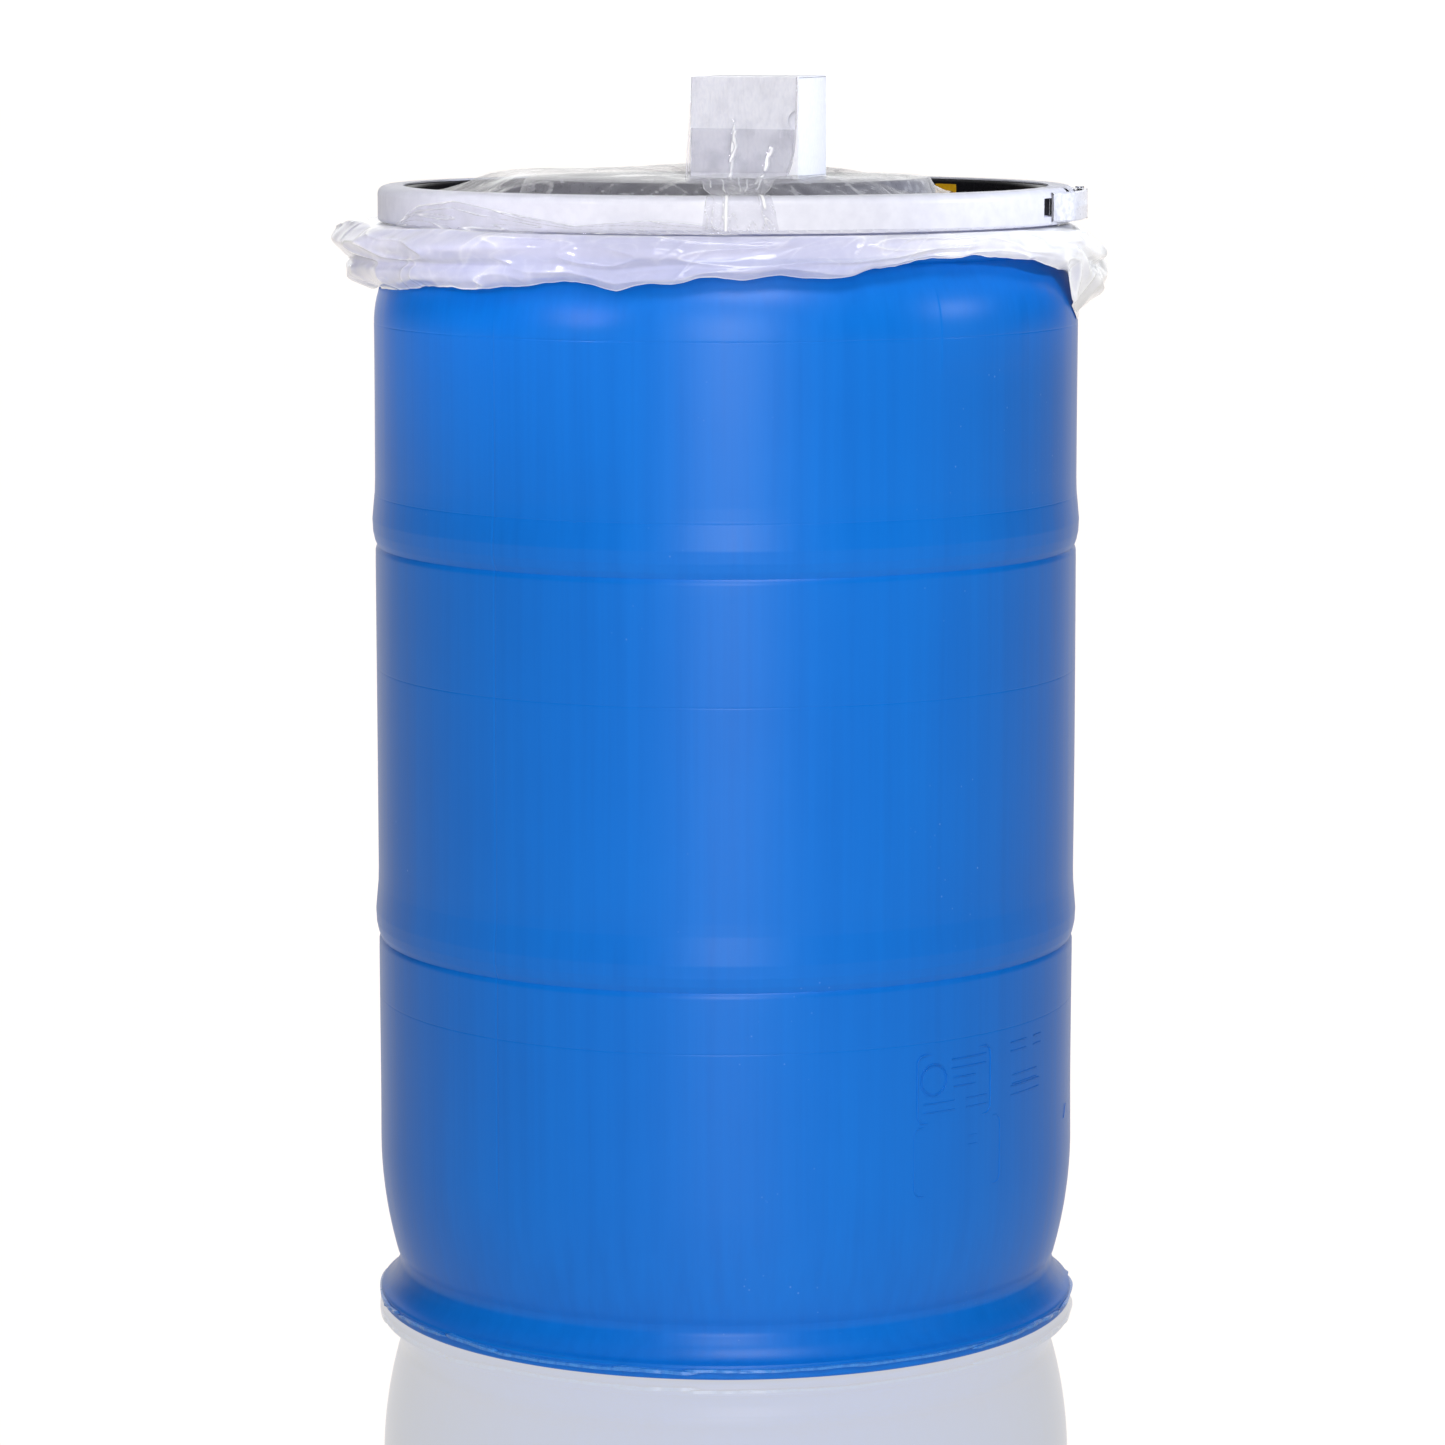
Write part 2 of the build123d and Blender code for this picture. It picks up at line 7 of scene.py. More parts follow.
# %% Load the frame
import math

import bmesh
import bpy
import numpy as np
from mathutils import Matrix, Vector, noise


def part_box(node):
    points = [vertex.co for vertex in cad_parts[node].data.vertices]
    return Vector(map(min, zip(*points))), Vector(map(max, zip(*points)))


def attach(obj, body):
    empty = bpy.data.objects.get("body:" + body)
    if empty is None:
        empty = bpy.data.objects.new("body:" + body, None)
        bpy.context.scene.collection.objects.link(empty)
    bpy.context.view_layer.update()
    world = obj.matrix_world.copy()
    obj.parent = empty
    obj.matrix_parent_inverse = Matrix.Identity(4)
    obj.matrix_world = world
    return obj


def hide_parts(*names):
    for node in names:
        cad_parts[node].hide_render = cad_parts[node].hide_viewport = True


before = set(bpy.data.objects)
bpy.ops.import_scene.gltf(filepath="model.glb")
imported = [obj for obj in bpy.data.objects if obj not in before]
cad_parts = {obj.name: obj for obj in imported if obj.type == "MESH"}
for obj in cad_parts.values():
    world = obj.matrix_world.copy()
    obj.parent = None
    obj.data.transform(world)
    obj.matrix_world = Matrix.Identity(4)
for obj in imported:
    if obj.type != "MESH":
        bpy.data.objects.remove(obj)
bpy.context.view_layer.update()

# %% [markdown]
# ## The camera
# A long lens from four metres away keeps the drum's sides nearly parallel, as in a catalogue picture. The camera looks
# slightly down, so that the lid shows as a thin ellipse.

# %% Camera
camera_data = bpy.data.cameras.new("catalogue_camera")
camera_data.sensor_width = 36.0
camera_data.lens = 126.9
camera_data.clip_end = 200.0
camera = bpy.data.objects.new("catalogue_camera", camera_data)
camera.location = (-0.0028, -4.21, 1.069)
camera.rotation_euler = (math.radians(90 - 7.89), 0, 0)
bpy.context.scene.collection.objects.link(camera)
bpy.context.scene.camera = camera
print("camera", tuple(round(x, 3) for x in camera.location), "lens", camera_data.lens)

# %% [markdown]
# ## Sizes
# The same sizes that the CAD model is drawn from, in metres, or read from the frame's boxes. Azimuth is the angle
# round the drum in degrees: 0 faces the camera and 90 is the right.

# %% Sizes
mm = 0.001
rim_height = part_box("drum_shell")[1].z
band_low, band_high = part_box("closing_band")
body_radius = 290.0 * mm
neck_radius = 272.0 * mm
foot_radius = 291.0 * mm
band_outer = (band_high.y - band_low.y) / 2
shoulder_height = rim_height - 100.0 * mm
shoulder_arc = 95.0 * mm
belly_height = 140.0 * mm
belly_arc = 361.0 * mm
waist_height = 44.0 * mm
crease_heights = (311.0 * mm, 637.0 * mm)


# %% [markdown]
# ## Small tools for meshes
# Almost everything here is round, so most pieces are a grid of points: rows along an outline and columns round the
# axis. One function turns such a grid into a mesh, and one draws a smooth line through a few given points.

# %% Mesh helpers
def smooth_line(points, count):
    """A Catmull-Rom line through the points, at count places evenly spaced by length."""
    p = np.array(points, float)
    padded = np.vstack([2 * p[0] - p[1], p, 2 * p[-1] - p[-2]])
    samples = []
    for i in range(len(p) - 1):
        a, b, c, d = padded[i : i + 4]
        t = np.linspace(0, 1, 24, endpoint=False)[:, None]
        samples.append(
            0.5 * (2 * b + (c - a) * t + (2 * a - 5 * b + 4 * c - d) * t**2 + (3 * b - a - 3 * c + d) * t**3)
        )
    line = np.vstack(samples + [p[-1:]])
    run = np.r_[0, np.cumsum(np.linalg.norm(np.diff(line, axis=0), axis=1))]
    even = np.linspace(0, run[-1], count)
    return np.stack([np.interp(even, run, line[:, k]) for k in range(line.shape[1])], axis=1)


def make_object(name, vertices, faces):
    """A smooth-shaded mesh object in the scene."""
    mesh = bpy.data.meshes.new(name)
    mesh.from_pydata([tuple(v) for v in vertices], [], faces)
    mesh.validate()
    mesh.shade_smooth()
    made = bpy.data.objects.new(name, mesh)
    bpy.context.scene.collection.objects.link(made)
    return made


def grid_faces(rows, columns, wrap, offset=0):
    """The quads of a grid of points, joined round if it wraps."""
    faces = []
    for i in range(rows - 1):
        for j in range(columns if wrap else columns - 1):
            k = (j + 1) % columns
            faces.append(
                (offset + i * columns + j, offset + i * columns + k,
                 offset + (i + 1) * columns + k, offset + (i + 1) * columns + j)
            )
    return faces


def grid_object(name, points, wrap):
    """A mesh object from an array of points, rows by columns."""
    rows, columns, _ = points.shape
    return make_object(name, points.reshape(-1, 3), grid_faces(rows, columns, wrap))


def round_axis(radius, azimuth, height):
    """Points at those radii, azimuths in degrees and heights, as an array with a last axis of three."""
    a = np.radians(azimuth)
    radius, a, height = np.broadcast_arrays(radius, a, height)
    return np.stack([radius * np.sin(a), -radius * np.cos(a), height], axis=-1)


def close_poles(target):
    """Merges the points that meet on the axis and drops the faces that close up there."""
    work = bmesh.new()
    work.from_mesh(target.data)
    bmesh.ops.remove_doubles(work, verts=work.verts, dist=1e-6)
    bmesh.ops.dissolve_degenerate(work, dist=1e-7, edges=work.edges)
    bmesh.ops.recalc_face_normals(work, faces=work.faces)
    work.to_mesh(target.data)
    work.free()
    target.data.shade_smooth()


def sharpen(target, degrees):
    """Keeps edges steeper than that angle crisp."""
    target.data.set_sharp_from_angle(angle=math.radians(degrees))


def bump_at(x, centre, width):
    """A smooth bump: 1 at the centre and nearly 0 two widths away."""
    return np.exp(-(((x - centre) / width) ** 2))


def turn_between(a, b):
    """The signed angle from azimuth b to azimuth a, between -180 and 180."""
    return (a - b + 180) % 360 - 180


def smooth_step(x, low, high):
    """0 below low, 1 above high, and a smooth rise between them."""
    t = np.clip((x - low) / (high - low), 0, 1)
    return t * t * (3 - 2 * t)


def cloud(points, size, seed=0.0):
    """Perlin noise at an array of points, with features about size across, from about -1 to 1."""
    flat = points.reshape(-1, 3) / size
    values = [noise.noise(Vector((x + seed, y - seed, z + 2 * seed))) for x, y, z in flat]
    return np.array(values).reshape(points.shape[:-1]) * 1.6


def ridge(values, power):
    """A thin bright line wherever the noise crosses zero; a higher power makes it thinner."""
    return (1 - np.clip(np.abs(values), 0, 1)) ** power


# %% [markdown]
# ## Small tools for materials
# Colours are written as the sRGB hex that a paint program shows, and one function turns them to the linear values
# that a shader adds up. One function adds any node with its settings, values and links.

# %% Material helpers
def linear(hex_colour):
    """An sRGB hex colour as linear red, green, blue and a full alpha."""
    channels = [int(hex_colour[i : i + 2], 16) / 255 for i in (1, 3, 5)]
    return tuple(c / 12.92 if c <= 0.04045 else ((c + 0.055) / 1.055) ** 2.4 for c in channels) + (1.0,)


def add(material, kind, sockets=None, **settings):
    """Adds a node. sockets maps each input to a value or to another node's output."""
    tree = material.node_tree
    made = tree.nodes.new(kind)
    for key, value in settings.items():
        setattr(made, key, value)
    for key, value in (sockets or {}).items():
        if isinstance(value, bpy.types.NodeSocket):
            tree.links.new(value, made.inputs[key])
        else:
            made.inputs[key].default_value = value
    return made


def start_material(name):
    """An empty node material with its output."""
    material = bpy.data.materials.new(name)
    material.use_nodes = True
    material.node_tree.nodes.clear()
    return material


def end_material(material, shader):
    """Links the shader to the material's output."""
    add(material, "ShaderNodeOutputMaterial", {"Surface": shader.outputs[0]})
    return material


def ramp(material, value, stops):
    """A colour ramp between (place, hex) stops."""
    made = add(material, "ShaderNodeValToRGB", {"Fac": value})
    band = made.color_ramp
    while len(band.elements) > 1:
        band.elements.remove(band.elements[-1])
    for i, (place, colour) in enumerate(stops):
        element = band.elements[0] if i == 0 else band.elements.new(place)
        element.position = place
        element.color = linear(colour)
    return made.outputs["Color"]


def wear(target, material):
    """Gives an object that one material."""
    target.data.materials.clear()
    target.data.materials.append(material)


# %% [markdown]
# ## Finish: high-density polyethylene, blow-moulded
# The drum is HDPE, coloured right through. The mould is steel with a fine blasted face, so the plastic comes out
# satin. It chills as it stretches, which leaves faint upright streaks, and handling leaves pale scuffs and specks.
# Its IOR is 1.54.

# %% Drum plastic
def drum_polyethylene():
    """The blue plastic, with upright streaks, pale specks and a satin skin."""
    material = start_material("blue_hdpe")
    place = add(material, "ShaderNodeTexCoord").outputs["Object"]
    # upright streaks are a centimetre or so wide and half a metre long
    stretched = add(material, "ShaderNodeMapping", {"Vector": place, "Scale": (1, 1, 0.02)}).outputs[0]
    streaks = add(
        material, "ShaderNodeTexNoise", {"Vector": stretched, "Scale": 95.0, "Detail": 3.0, "Roughness": 0.6}
    )
    hair = add(material, "ShaderNodeTexNoise", {"Vector": stretched, "Scale": 520.0, "Detail": 2.0})
    patches = add(material, "ShaderNodeTexNoise", {"Vector": place, "Scale": 5.0, "Detail": 3.0})
    tone = add(material, "ShaderNodeMath", {0: streaks.outputs["Fac"], 1: 0.55}, operation="MULTIPLY").outputs[0]
    tone = add(
        material, "ShaderNodeMath", {0: patches.outputs["Fac"], 1: 0.45, 2: tone}, operation="MULTIPLY_ADD"
    ).outputs[0]
    blue = ramp(material, tone, [(0.30, "#0068C9"), (0.5, "#006DD0"), (0.70, "#0072D6")])
    # pale specks, about a millimetre across, where grit has marked the skin
    specks = add(material, "ShaderNodeTexVoronoi", {"Vector": place, "Scale": 95.0, "Randomness": 1.0})
    speck_here = add(material, "ShaderNodeTexNoise", {"Vector": place, "Scale": 11.0, "Detail": 4.0})
    dot = add(
        material, "ShaderNodeMapRange", {"Value": specks.outputs["Distance"], "From Min": 0.10, "From Max": 0.03}
    )
    some = add(
        material, "ShaderNodeMapRange", {"Value": speck_here.outputs["Fac"], "From Min": 0.58, "From Max": 0.72}
    )
    speck = add(material, "ShaderNodeMath", {0: dot.outputs[0], 1: some.outputs[0]}, operation="MULTIPLY").outputs[0]
    speck = add(material, "ShaderNodeMath", {0: speck, 1: 0.55}, operation="MULTIPLY").outputs[0]
    colour = add(material, "ShaderNodeMix", {0: speck, 6: blue, 7: linear("#8FBDF0")}, data_type="RGBA").outputs[2]
    gloss = add(
        material,
        "ShaderNodeMapRange",
        {"Value": streaks.outputs["Fac"], "From Min": 0.3, "From Max": 0.7, "To Min": 0.32, "To Max": 0.37},
    ).outputs[0]
    fine = add(material, "ShaderNodeTexNoise", {"Vector": place, "Scale": 900.0, "Detail": 2.0})
    relief = add(material, "ShaderNodeBump", {"Height": hair.outputs["Fac"], "Strength": 0.10, "Distance": 0.4 * mm})
    relief = add(
        material,
        "ShaderNodeBump",
        {"Height": fine.outputs["Fac"], "Strength": 0.12, "Distance": 0.2 * mm, "Normal": relief.outputs[0]},
    )
    shader = add(
        material,
        "ShaderNodeBsdfPrincipled",
        {
            "Base Color": colour, "Roughness": gloss, "IOR": 1.54, "Specular IOR Level": 0.2,
            "Normal": relief.outputs[0], "Coat Weight": 0.05, "Coat Roughness": 0.36
        },
    )
    return end_material(material, shader)


drum_blue = drum_polyethylene()

# %% [markdown]
# ## Finish: polyethylene film
# The film is blown low-density polyethylene, about 0.1 mm thick, IOR 1.51. Flat film lets most light through. Where
# it creases or turns edge-on, more layers and more surfaces scatter light, so it whitens. Each film piece carries a
# "crease" value at every point, from 0 on flat film to 1 on a sharp crease, and the shader mixes on it. On the cuff
# and the cover film that value also holds painted highlights.

# %% Film
def film(name, flat_alpha, crease_alpha, tint, white, roughness):
    """A clear film that hides more, and turns from its tint to white, where it is creased, has a painted highlight, or
    is seen edge-on.
    """
    material = start_material(name)
    place = add(material, "ShaderNodeTexCoord").outputs["Object"]
    crease = add(material, "ShaderNodeAttribute", attribute_name="crease").outputs["Fac"]
    facing = add(material, "ShaderNodeLayerWeight", {"Blend": 0.35}).outputs["Facing"]
    mottle = add(material, "ShaderNodeTexNoise", {"Vector": place, "Scale": 60.0, "Detail": 4.0}).outputs["Fac"]
    mottle = add(material, "ShaderNodeMath", {0: mottle, 1: 0.45, 2: -0.22}, operation="MULTIPLY_ADD").outputs[0]
    edge = add(material, "ShaderNodeMath", {0: facing, 1: 0.55, 2: mottle}, operation="MULTIPLY_ADD").outputs[0]
    cover = add(material, "ShaderNodeMath", {0: crease, 1: edge}, operation="ADD", use_clamp=True).outputs[0]
    alpha = add(
        material, "ShaderNodeMapRange", {"Value": cover, "To Min": flat_alpha, "To Max": crease_alpha}
    ).outputs[0]
    colour = ramp(material, cover, [(0.1, tint), (0.8, white)])
    ripple = add(material, "ShaderNodeTexNoise", {"Vector": place, "Scale": 220.0, "Detail": 3.0, "Distortion": 0.6})
    relief = add(
        material, "ShaderNodeBump", {"Height": ripple.outputs["Fac"], "Strength": 0.25, "Distance": 0.6 * mm}
    )
    shader = add(
        material,
        "ShaderNodeBsdfPrincipled",
        {"Base Color": colour, "Roughness": roughness, "IOR": 1.51, "Alpha": alpha, "Normal": relief.outputs[0]},
    )
    return end_material(material, shader)


liner_film = film("liner_film_ldpe", 0.68, 1.0, "#D9DAF4", "#FFFFFF", 0.09)
clear_film = film("clear_film_ldpe", 0.12, 0.80, "#B9B8C8", "#FFFFFF", 0.08)
carton_film = film("carton_film_ldpe", 0.14, 0.85, "#A1A0B3", "#FFFFFF", 0.10)

# %% [markdown]
# ## Finish: the ring, the latch, the lid and the carton
# The ring is rolled steel, galvanised and lacquered a satin light grey, so it reads as paint over faint rolling marks.
# The lid is black injection-moulded HDPE, the seal is foam rubber, and the carton is clay-coated board.

# %% Solid finishes
def grained(name, light, dark, roughness, grain_scale, squeeze, depth, metallic=0.0, ior=1.5, coat=0.0):
    """A Principled finish whose colour and relief both follow one noise, squeezed along Z by squeeze."""
    material = start_material(name)
    place = add(material, "ShaderNodeTexCoord").outputs["Object"]
    place = add(material, "ShaderNodeMapping", {"Vector": place, "Scale": (1, 1, squeeze)}).outputs[0]
    grain = add(material, "ShaderNodeTexNoise", {"Vector": place, "Scale": grain_scale, "Detail": 4.0}).outputs["Fac"]
    colour = ramp(material, grain, [(0.35, dark), (0.65, light)])
    gloss = add(
        material,
        "ShaderNodeMapRange",
        {"Value": grain, "From Min": 0.3, "From Max": 0.7, "To Min": roughness + 0.05, "To Max": roughness - 0.05},
    ).outputs[0]
    relief = add(material, "ShaderNodeBump", {"Height": grain, "Strength": 0.2, "Distance": depth}).outputs[0]
    shader = add(
        material,
        "ShaderNodeBsdfPrincipled",
        {
            "Base Color": colour,
            "Roughness": gloss,
            "Metallic": metallic,
            "IOR": ior,
            "Normal": relief,
            "Coat Weight": coat,
            "Coat Roughness": 0.15,
        },
    )
    return end_material(material, shader)


ring_paint = grained("ring_lacquered_steel", "#DADBE6", "#D2D3DF", 0.42, 90.0, 1.0, 0.03 * mm, coat=0.05)
latch_steel = grained("latch_lacquered_steel", "#DDDEE6", "#C3C5D0", 0.30, 240.0, 1.0, 0.1 * mm, coat=0.3)
pin_zinc = grained("pin_zinc_plate", "#B9BBC2", "#8E9098", 0.32, 900.0, 1.0, 0.05 * mm, metallic=1.0, ior=2.0)
lid_black = grained("lid_black_hdpe", "#17171C", "#0D0D11", 0.30, 420.0, 1.0, 0.1 * mm, ior=1.54)
seal_foam = grained("seal_foam_rubber", "#26262A", "#141416", 0.8, 1500.0, 1.0, 0.2 * mm)
tag_vinyl = grained("tag_vinyl", "#E6B21C", "#D9A313", 0.35, 300.0, 1.0, 0.02 * mm, ior=1.53)
carton_board = grained("carton_clay_coated_board", "#F6F6FA", "#ECEDF4", 0.45, 650.0, 0.35, 0.05 * mm)

# %% [markdown]
# ## The drum's wall
# One grid turned about the axis. Its outline runs from the floor inside, over the mouth, down the outside and under
# the foot. A moulded drum isn't a perfect turning: the wall pulls in by tenths of a millimetre here and there, a
# parting line runs down two sides, mould joints ring it, and a bulge sits above a crease at each hoop.

# %% Drum wall
hoop_shape = [
    (-12, 0), (-4, -0.1), (-1.5, -0.7), (0, -1.6), (1.5, -1.0), (5, 0.4), (12, 1.9), (22, 2.4), (32, 1.5), (45, 0.3),
    (55, 0)
]
mould_joints = (820.6 * mm, 680.0 * mm, 536.5 * mm, 262.3 * mm)
parting_azimuth = -39.0
panel_left, panel_right = 35.5, 56.0  # a shallow raised panel under the shoulder


def wall_radius(height):
    """The outside radius of the wall between the waist and the neck."""
    radius = np.full_like(height, body_radius)
    below = height < belly_height
    radius[below] = body_radius - belly_arc + np.sqrt(belly_arc**2 - (belly_height - height[below]) ** 2)
    above = height > shoulder_height
    radius[above] = body_radius - shoulder_arc + np.sqrt(shoulder_arc**2 - (height[above] - shoulder_height) ** 2)
    for crease in crease_heights:
        rise = np.array([z * mm for z, _ in hoop_shape]) + crease
        radius = radius + np.interp(height, rise, [r * mm for _, r in hoop_shape])
    for joint in mould_joints:
        radius = radius - 0.22 * mm * bump_at(height, joint, 0.5 * mm)
    return radius


fine_rows = [np.arange(-16, 58, 1.0) * mm + crease for crease in crease_heights]
fine_rows += [np.arange(-2, 2.1, 0.25) * mm + joint for joint in mould_joints]
heights = np.unique(np.round(np.r_[np.arange(waist_height, 878 * mm, 6 * mm), 0.878, *fine_rows], 6))
side = np.stack([wall_radius(heights), heights], axis=1)
foot_line = smooth_line(
    [(264, 0), (286, 0), (290.2, 1.2), (290.8, 3.5), (290.9, 7), (290.9, 10.2), (290.1, 11.9), (288.4, 12.9),
     (285.4, 15), (282.2, 18.6), (279.0, 23.5), (276.4, 29.5), (274.9, 33.5), (274.7, 37), (275.3, 41)], 70) * mm
mouth_line = np.array(
    [(272, 880), (272, 904), (273.5, 906), (282, 906), (283, 907.2), (283, 909.5), (281.8, 910.5), (279.3, 911),
     (279.3, 917.8), (278, 919.5), (270, 919.5), (268, 918), (268, 900), (269, 878), (284, 840), (286.8, 800),
     (286.8, 140), (284, 100), (276, 50), (262, 16), (240, 12), (0.01, 12)], float) * mm
under_line = np.array([(0.01, 8), (252, 8), (262, 1)], float) * mm
outline = np.vstack([under_line, foot_line, side, mouth_line])
azimuths = np.unique(np.round(np.r_[np.arange(0, 360, 1.25), parting_azimuth % 360 + np.arange(-1, 1.01, 0.1),
                                    (parting_azimuth + 180) + np.arange(-1, 1.01, 0.1),
                                    panel_left + np.arange(-0.4, 0.41, 0.1)], 4))
radii = outline[:, 0][:, None] * np.ones(len(azimuths))
levels = outline[:, 1][:, None] * np.ones(len(azimuths))
outer = np.zeros(len(outline), bool)
outer[len(under_line) + len(foot_line) : len(under_line) + len(foot_line) + len(side)] = True
on_wall = (outer[:, None] * np.ones(len(azimuths))).astype(bool)
around = np.ones(len(outline))[:, None] * azimuths
parting = bump_at(turn_between(around, parting_azimuth), 0, 0.16) + bump_at(
    turn_between(around, parting_azimuth + 180), 0, 0.16
)
parting *= smooth_step(levels, 0.125, 0.14) * (1 - smooth_step(levels, 0.825, 0.835))
panel = smooth_step(turn_between(around, panel_left), -0.1, 0.1) * (
    1 - smooth_step(turn_between(around, panel_right), -0.1, 0.1)
)
panel *= smooth_step(levels, 0.7945, 0.7955) * (1 - smooth_step(levels, 0.85, 0.86))
wander_depth, parting_depth, panel_height = 0.35 * mm, 0.30 * mm, 0.35 * mm
wander = wander_depth * (
    np.sin(np.radians(2 * around) + 9 * levels) + 0.6 * np.sin(np.radians(5 * around) - 14 * levels)
)
wander *= smooth_step(levels, 0.12, 0.2) * (1 - smooth_step(levels, 0.75, 0.85))
radii = radii + on_wall * (wander - parting_depth * parting + panel_height * panel)
drum_wall = grid_object("drum_wall", round_axis(radii, around, levels), wrap=True)
close_poles(drum_wall)
sharpen(drum_wall, 38)
wear(drum_wall, drum_blue)
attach(drum_wall, "drum")
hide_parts("drum_shell")
print("drum wall:", len(drum_wall.data.vertices), "points, widest radius", round(float(radii.max()), 4))

# %% [markdown]
# ## Marks moulded in the wall
# Two rounded frames, a raised disc and rows of plain bars stand where a drum carries its moulded markings. They say
# nothing. Each is a thin raised thread that lies on the wall.

# %% Moulded marks
def wall_thread(name, places, width, closed=False):
    """A raised thread along (azimuth, height) places on the wall."""
    points = np.array(places, float)
    radius = wall_radius(points[:, 1]) + 0.05 * mm
    curve = bpy.data.curves.new(name, "CURVE")
    curve.dimensions = "3D"
    curve.bevel_depth = width / 2
    curve.bevel_resolution = 2
    spline = curve.splines.new("POLY")
    spline.points.add(len(points) - 1)
    for target, spot in zip(spline.points, round_axis(radius, points[:, 0], points[:, 1])):
        target.co = (*spot, 1)
    spline.use_cyclic_u = closed
    thread = bpy.data.objects.new(name, curve)
    bpy.context.scene.collection.objects.link(thread)
    wear(thread, drum_blue)
    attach(thread, "drum")
    return thread


degrees_per_metre = 57.3 / body_radius


def rounded_frame(left, right, low, high, corner):
    """The places round a frame with rounded corners; corner is in metres."""
    turn = corner * degrees_per_metre
    places = []
    for a, z, start in (
        (right - turn, high - corner, 0), (left + turn, high - corner, 90), (left + turn, low + corner, 180),
        (right - turn, low + corner, 270)
    ):
        for t in np.radians(np.linspace(start, start + 90, 7)):
            places.append((a + turn * np.cos(t), z + corner * np.sin(t)))
    return places


marks = [
    wall_thread("mark_frame_upper", rounded_frame(31.6, 47.1, 0.197, 0.2525, 7 * mm), 1.3 * mm, closed=True),
    wall_thread("mark_frame_lower", rounded_frame(31.0, 49.5, 0.138, 0.194, 7 * mm), 1.0 * mm, closed=True),
]
circle = np.linspace(0, 2 * math.pi, 36, endpoint=False)
disc_azimuth, disc_height = 34.8, 231.5 * mm
for k, size in enumerate((13.2, 11.6)):
    ring_places = [
        (
            disc_azimuth + size * mm * degrees_per_metre * math.cos(t), disc_height + size * mm * math.sin(t)
        ) for t in circle
    ]
    marks.append(wall_thread(f"mark_ring_{k}", ring_places, 0.7 * mm, closed=True))
bars = [
    (38.4, 46.0, 0.2425), (38.8, 43.5, 0.2275), (32.8, 39.0, 0.2090), (41.5, 46.3, 0.2090), (52.5, 57.0, 0.2460),
    (59.5, 62.0, 0.2460), (53.0, 60.5, 0.2190), (52.5, 61.5, 0.2100), (42.0, 44.0, 0.1780),
]
for k, (start, end, level) in enumerate(bars):
    for line in (-1, 1):
        places = [(a, level + line * 3.6 * mm) for a in np.linspace(start, end, 8)]
        marks.append(wall_thread(f"mark_bar_{k}_{line + 1}", places, 0.9 * mm))
marks.append(wall_thread("scratch", [(74.5, 0.166), (75.3, 0.172), (75.9, 0.177)], 0.5 * mm))
print("moulded marks:", len(marks))

# %% [markdown]
# ## Flash at the foot
# The base is pinched off in the mould, and the flash is trimmed by knife. What stays is a ragged line of slivers round
# the foot's lip, each with a tapered end that overlaps the next.

# %% Foot flash
flash_blue = grained("flash_hdpe_cut_edge", "#3A8CE0", "#1F74CE", 0.30, 260.0, 0.4, 0.15 * mm, ior=1.54, coat=0.2)
rng = np.random.default_rng(7)
start = 0.0
slivers = 0
while start < 360:
    length = rng.uniform(9, 34)
    steps = np.linspace(0, 1, 28)
    level = 7.4 * mm + rng.uniform(-1.0, 1.0) * mm + (steps - 0.5) * rng.uniform(-3.2, 3.2) * mm
    taper = np.minimum(1, np.minimum(steps, 1 - steps) * rng.uniform(5, 12)) ** 0.8
    height = rng.uniform(3.0, 5.2) * mm * taper + 0.05 * mm
    reach = foot_radius + (0.5 + 1.8 * taper * (0.65 + 0.35 * np.sin(steps * rng.uniform(8, 26)))) * mm
    angle = start + steps * length
    inner = foot_radius - 3.0 * mm
    section = [(inner, -0.5), (reach, -0.35), (reach + 0.15 * mm, 0.2), (inner, 0.6)]
    rows = [round_axis(radius, angle, level + share * height) for radius, share in section]
    sliver = grid_object(f"foot_flash_{slivers:02d}", np.stack([np.asarray(r) for r in rows + rows[:1]]), wrap=False)
    sharpen(sliver, 30)
    wear(sliver, flash_blue)
    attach(sliver, "drum")
    start += length * rng.uniform(0.72, 0.98)
    slivers += 1
print("slivers of flash:", slivers)

# %% [markdown]
# ## The bag inside the drum
# The bag's film hangs down the inside wall and lies over the mouth. It is wider than the drum, so it hangs in upright
# wrinkles that fade towards the mouth, where the lid's plug presses them flat.

# %% Liner bag
def set_crease(target, values):
    """Stores the crease value at every point for the film shader; some pieces add painted highlights to it."""
    layer = target.data.attributes.new("crease", "FLOAT", "POINT")
    layer.data.foreach_set("value", np.clip(values, 0, 1).astype(np.float32).ravel())


bag_rows, mouth_rows = 200, 45
wrinkle_depth = 11 * mm
bag_line = smooth_line(
    [(273.3, 884), (273.4, 904), (284.2, 905), (284.2, 911.4), (280.4, 912), (280.2, 920.3), (267.2, 920.4),
     (267.1, 905), (265.5, 870), (264, 800), (262, 600), (262, 300), (262, 60), (256, 30), (240, 16), (200, 13.8),
     (0.5, 13.6)], bag_rows) * mm
bag_around = np.arange(0, 360, 1.0)
depth = np.clip(
    (0.885 - bag_line[:, 1]) / 0.25, 0, 1
) * (np.arange(bag_rows) > mouth_rows) * np.clip(bag_line[:, 0] / 0.25, 0, 1)
angle = np.radians(bag_around)
wrinkle = (
    np.abs(np.sin(9 * angle + 0.8 * np.sin(3 * angle))) * 0.6
    + np.abs(np.sin(23 * angle + 1.3 * np.sin(5 * angle))) * 0.4
)
bag_radius = bag_line[:, 0][:, None] - depth[:, None] * wrinkle_depth * (1 - wrinkle)
bag = grid_object("liner_bag_film", round_axis(bag_radius, bag_around, bag_line[:, 1][:, None]), wrap=True)
set_crease(bag, depth[:, None] * (1 - wrinkle) ** 3)
wear(bag, liner_film)
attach(bag, "drum")
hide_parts("liner_bag")
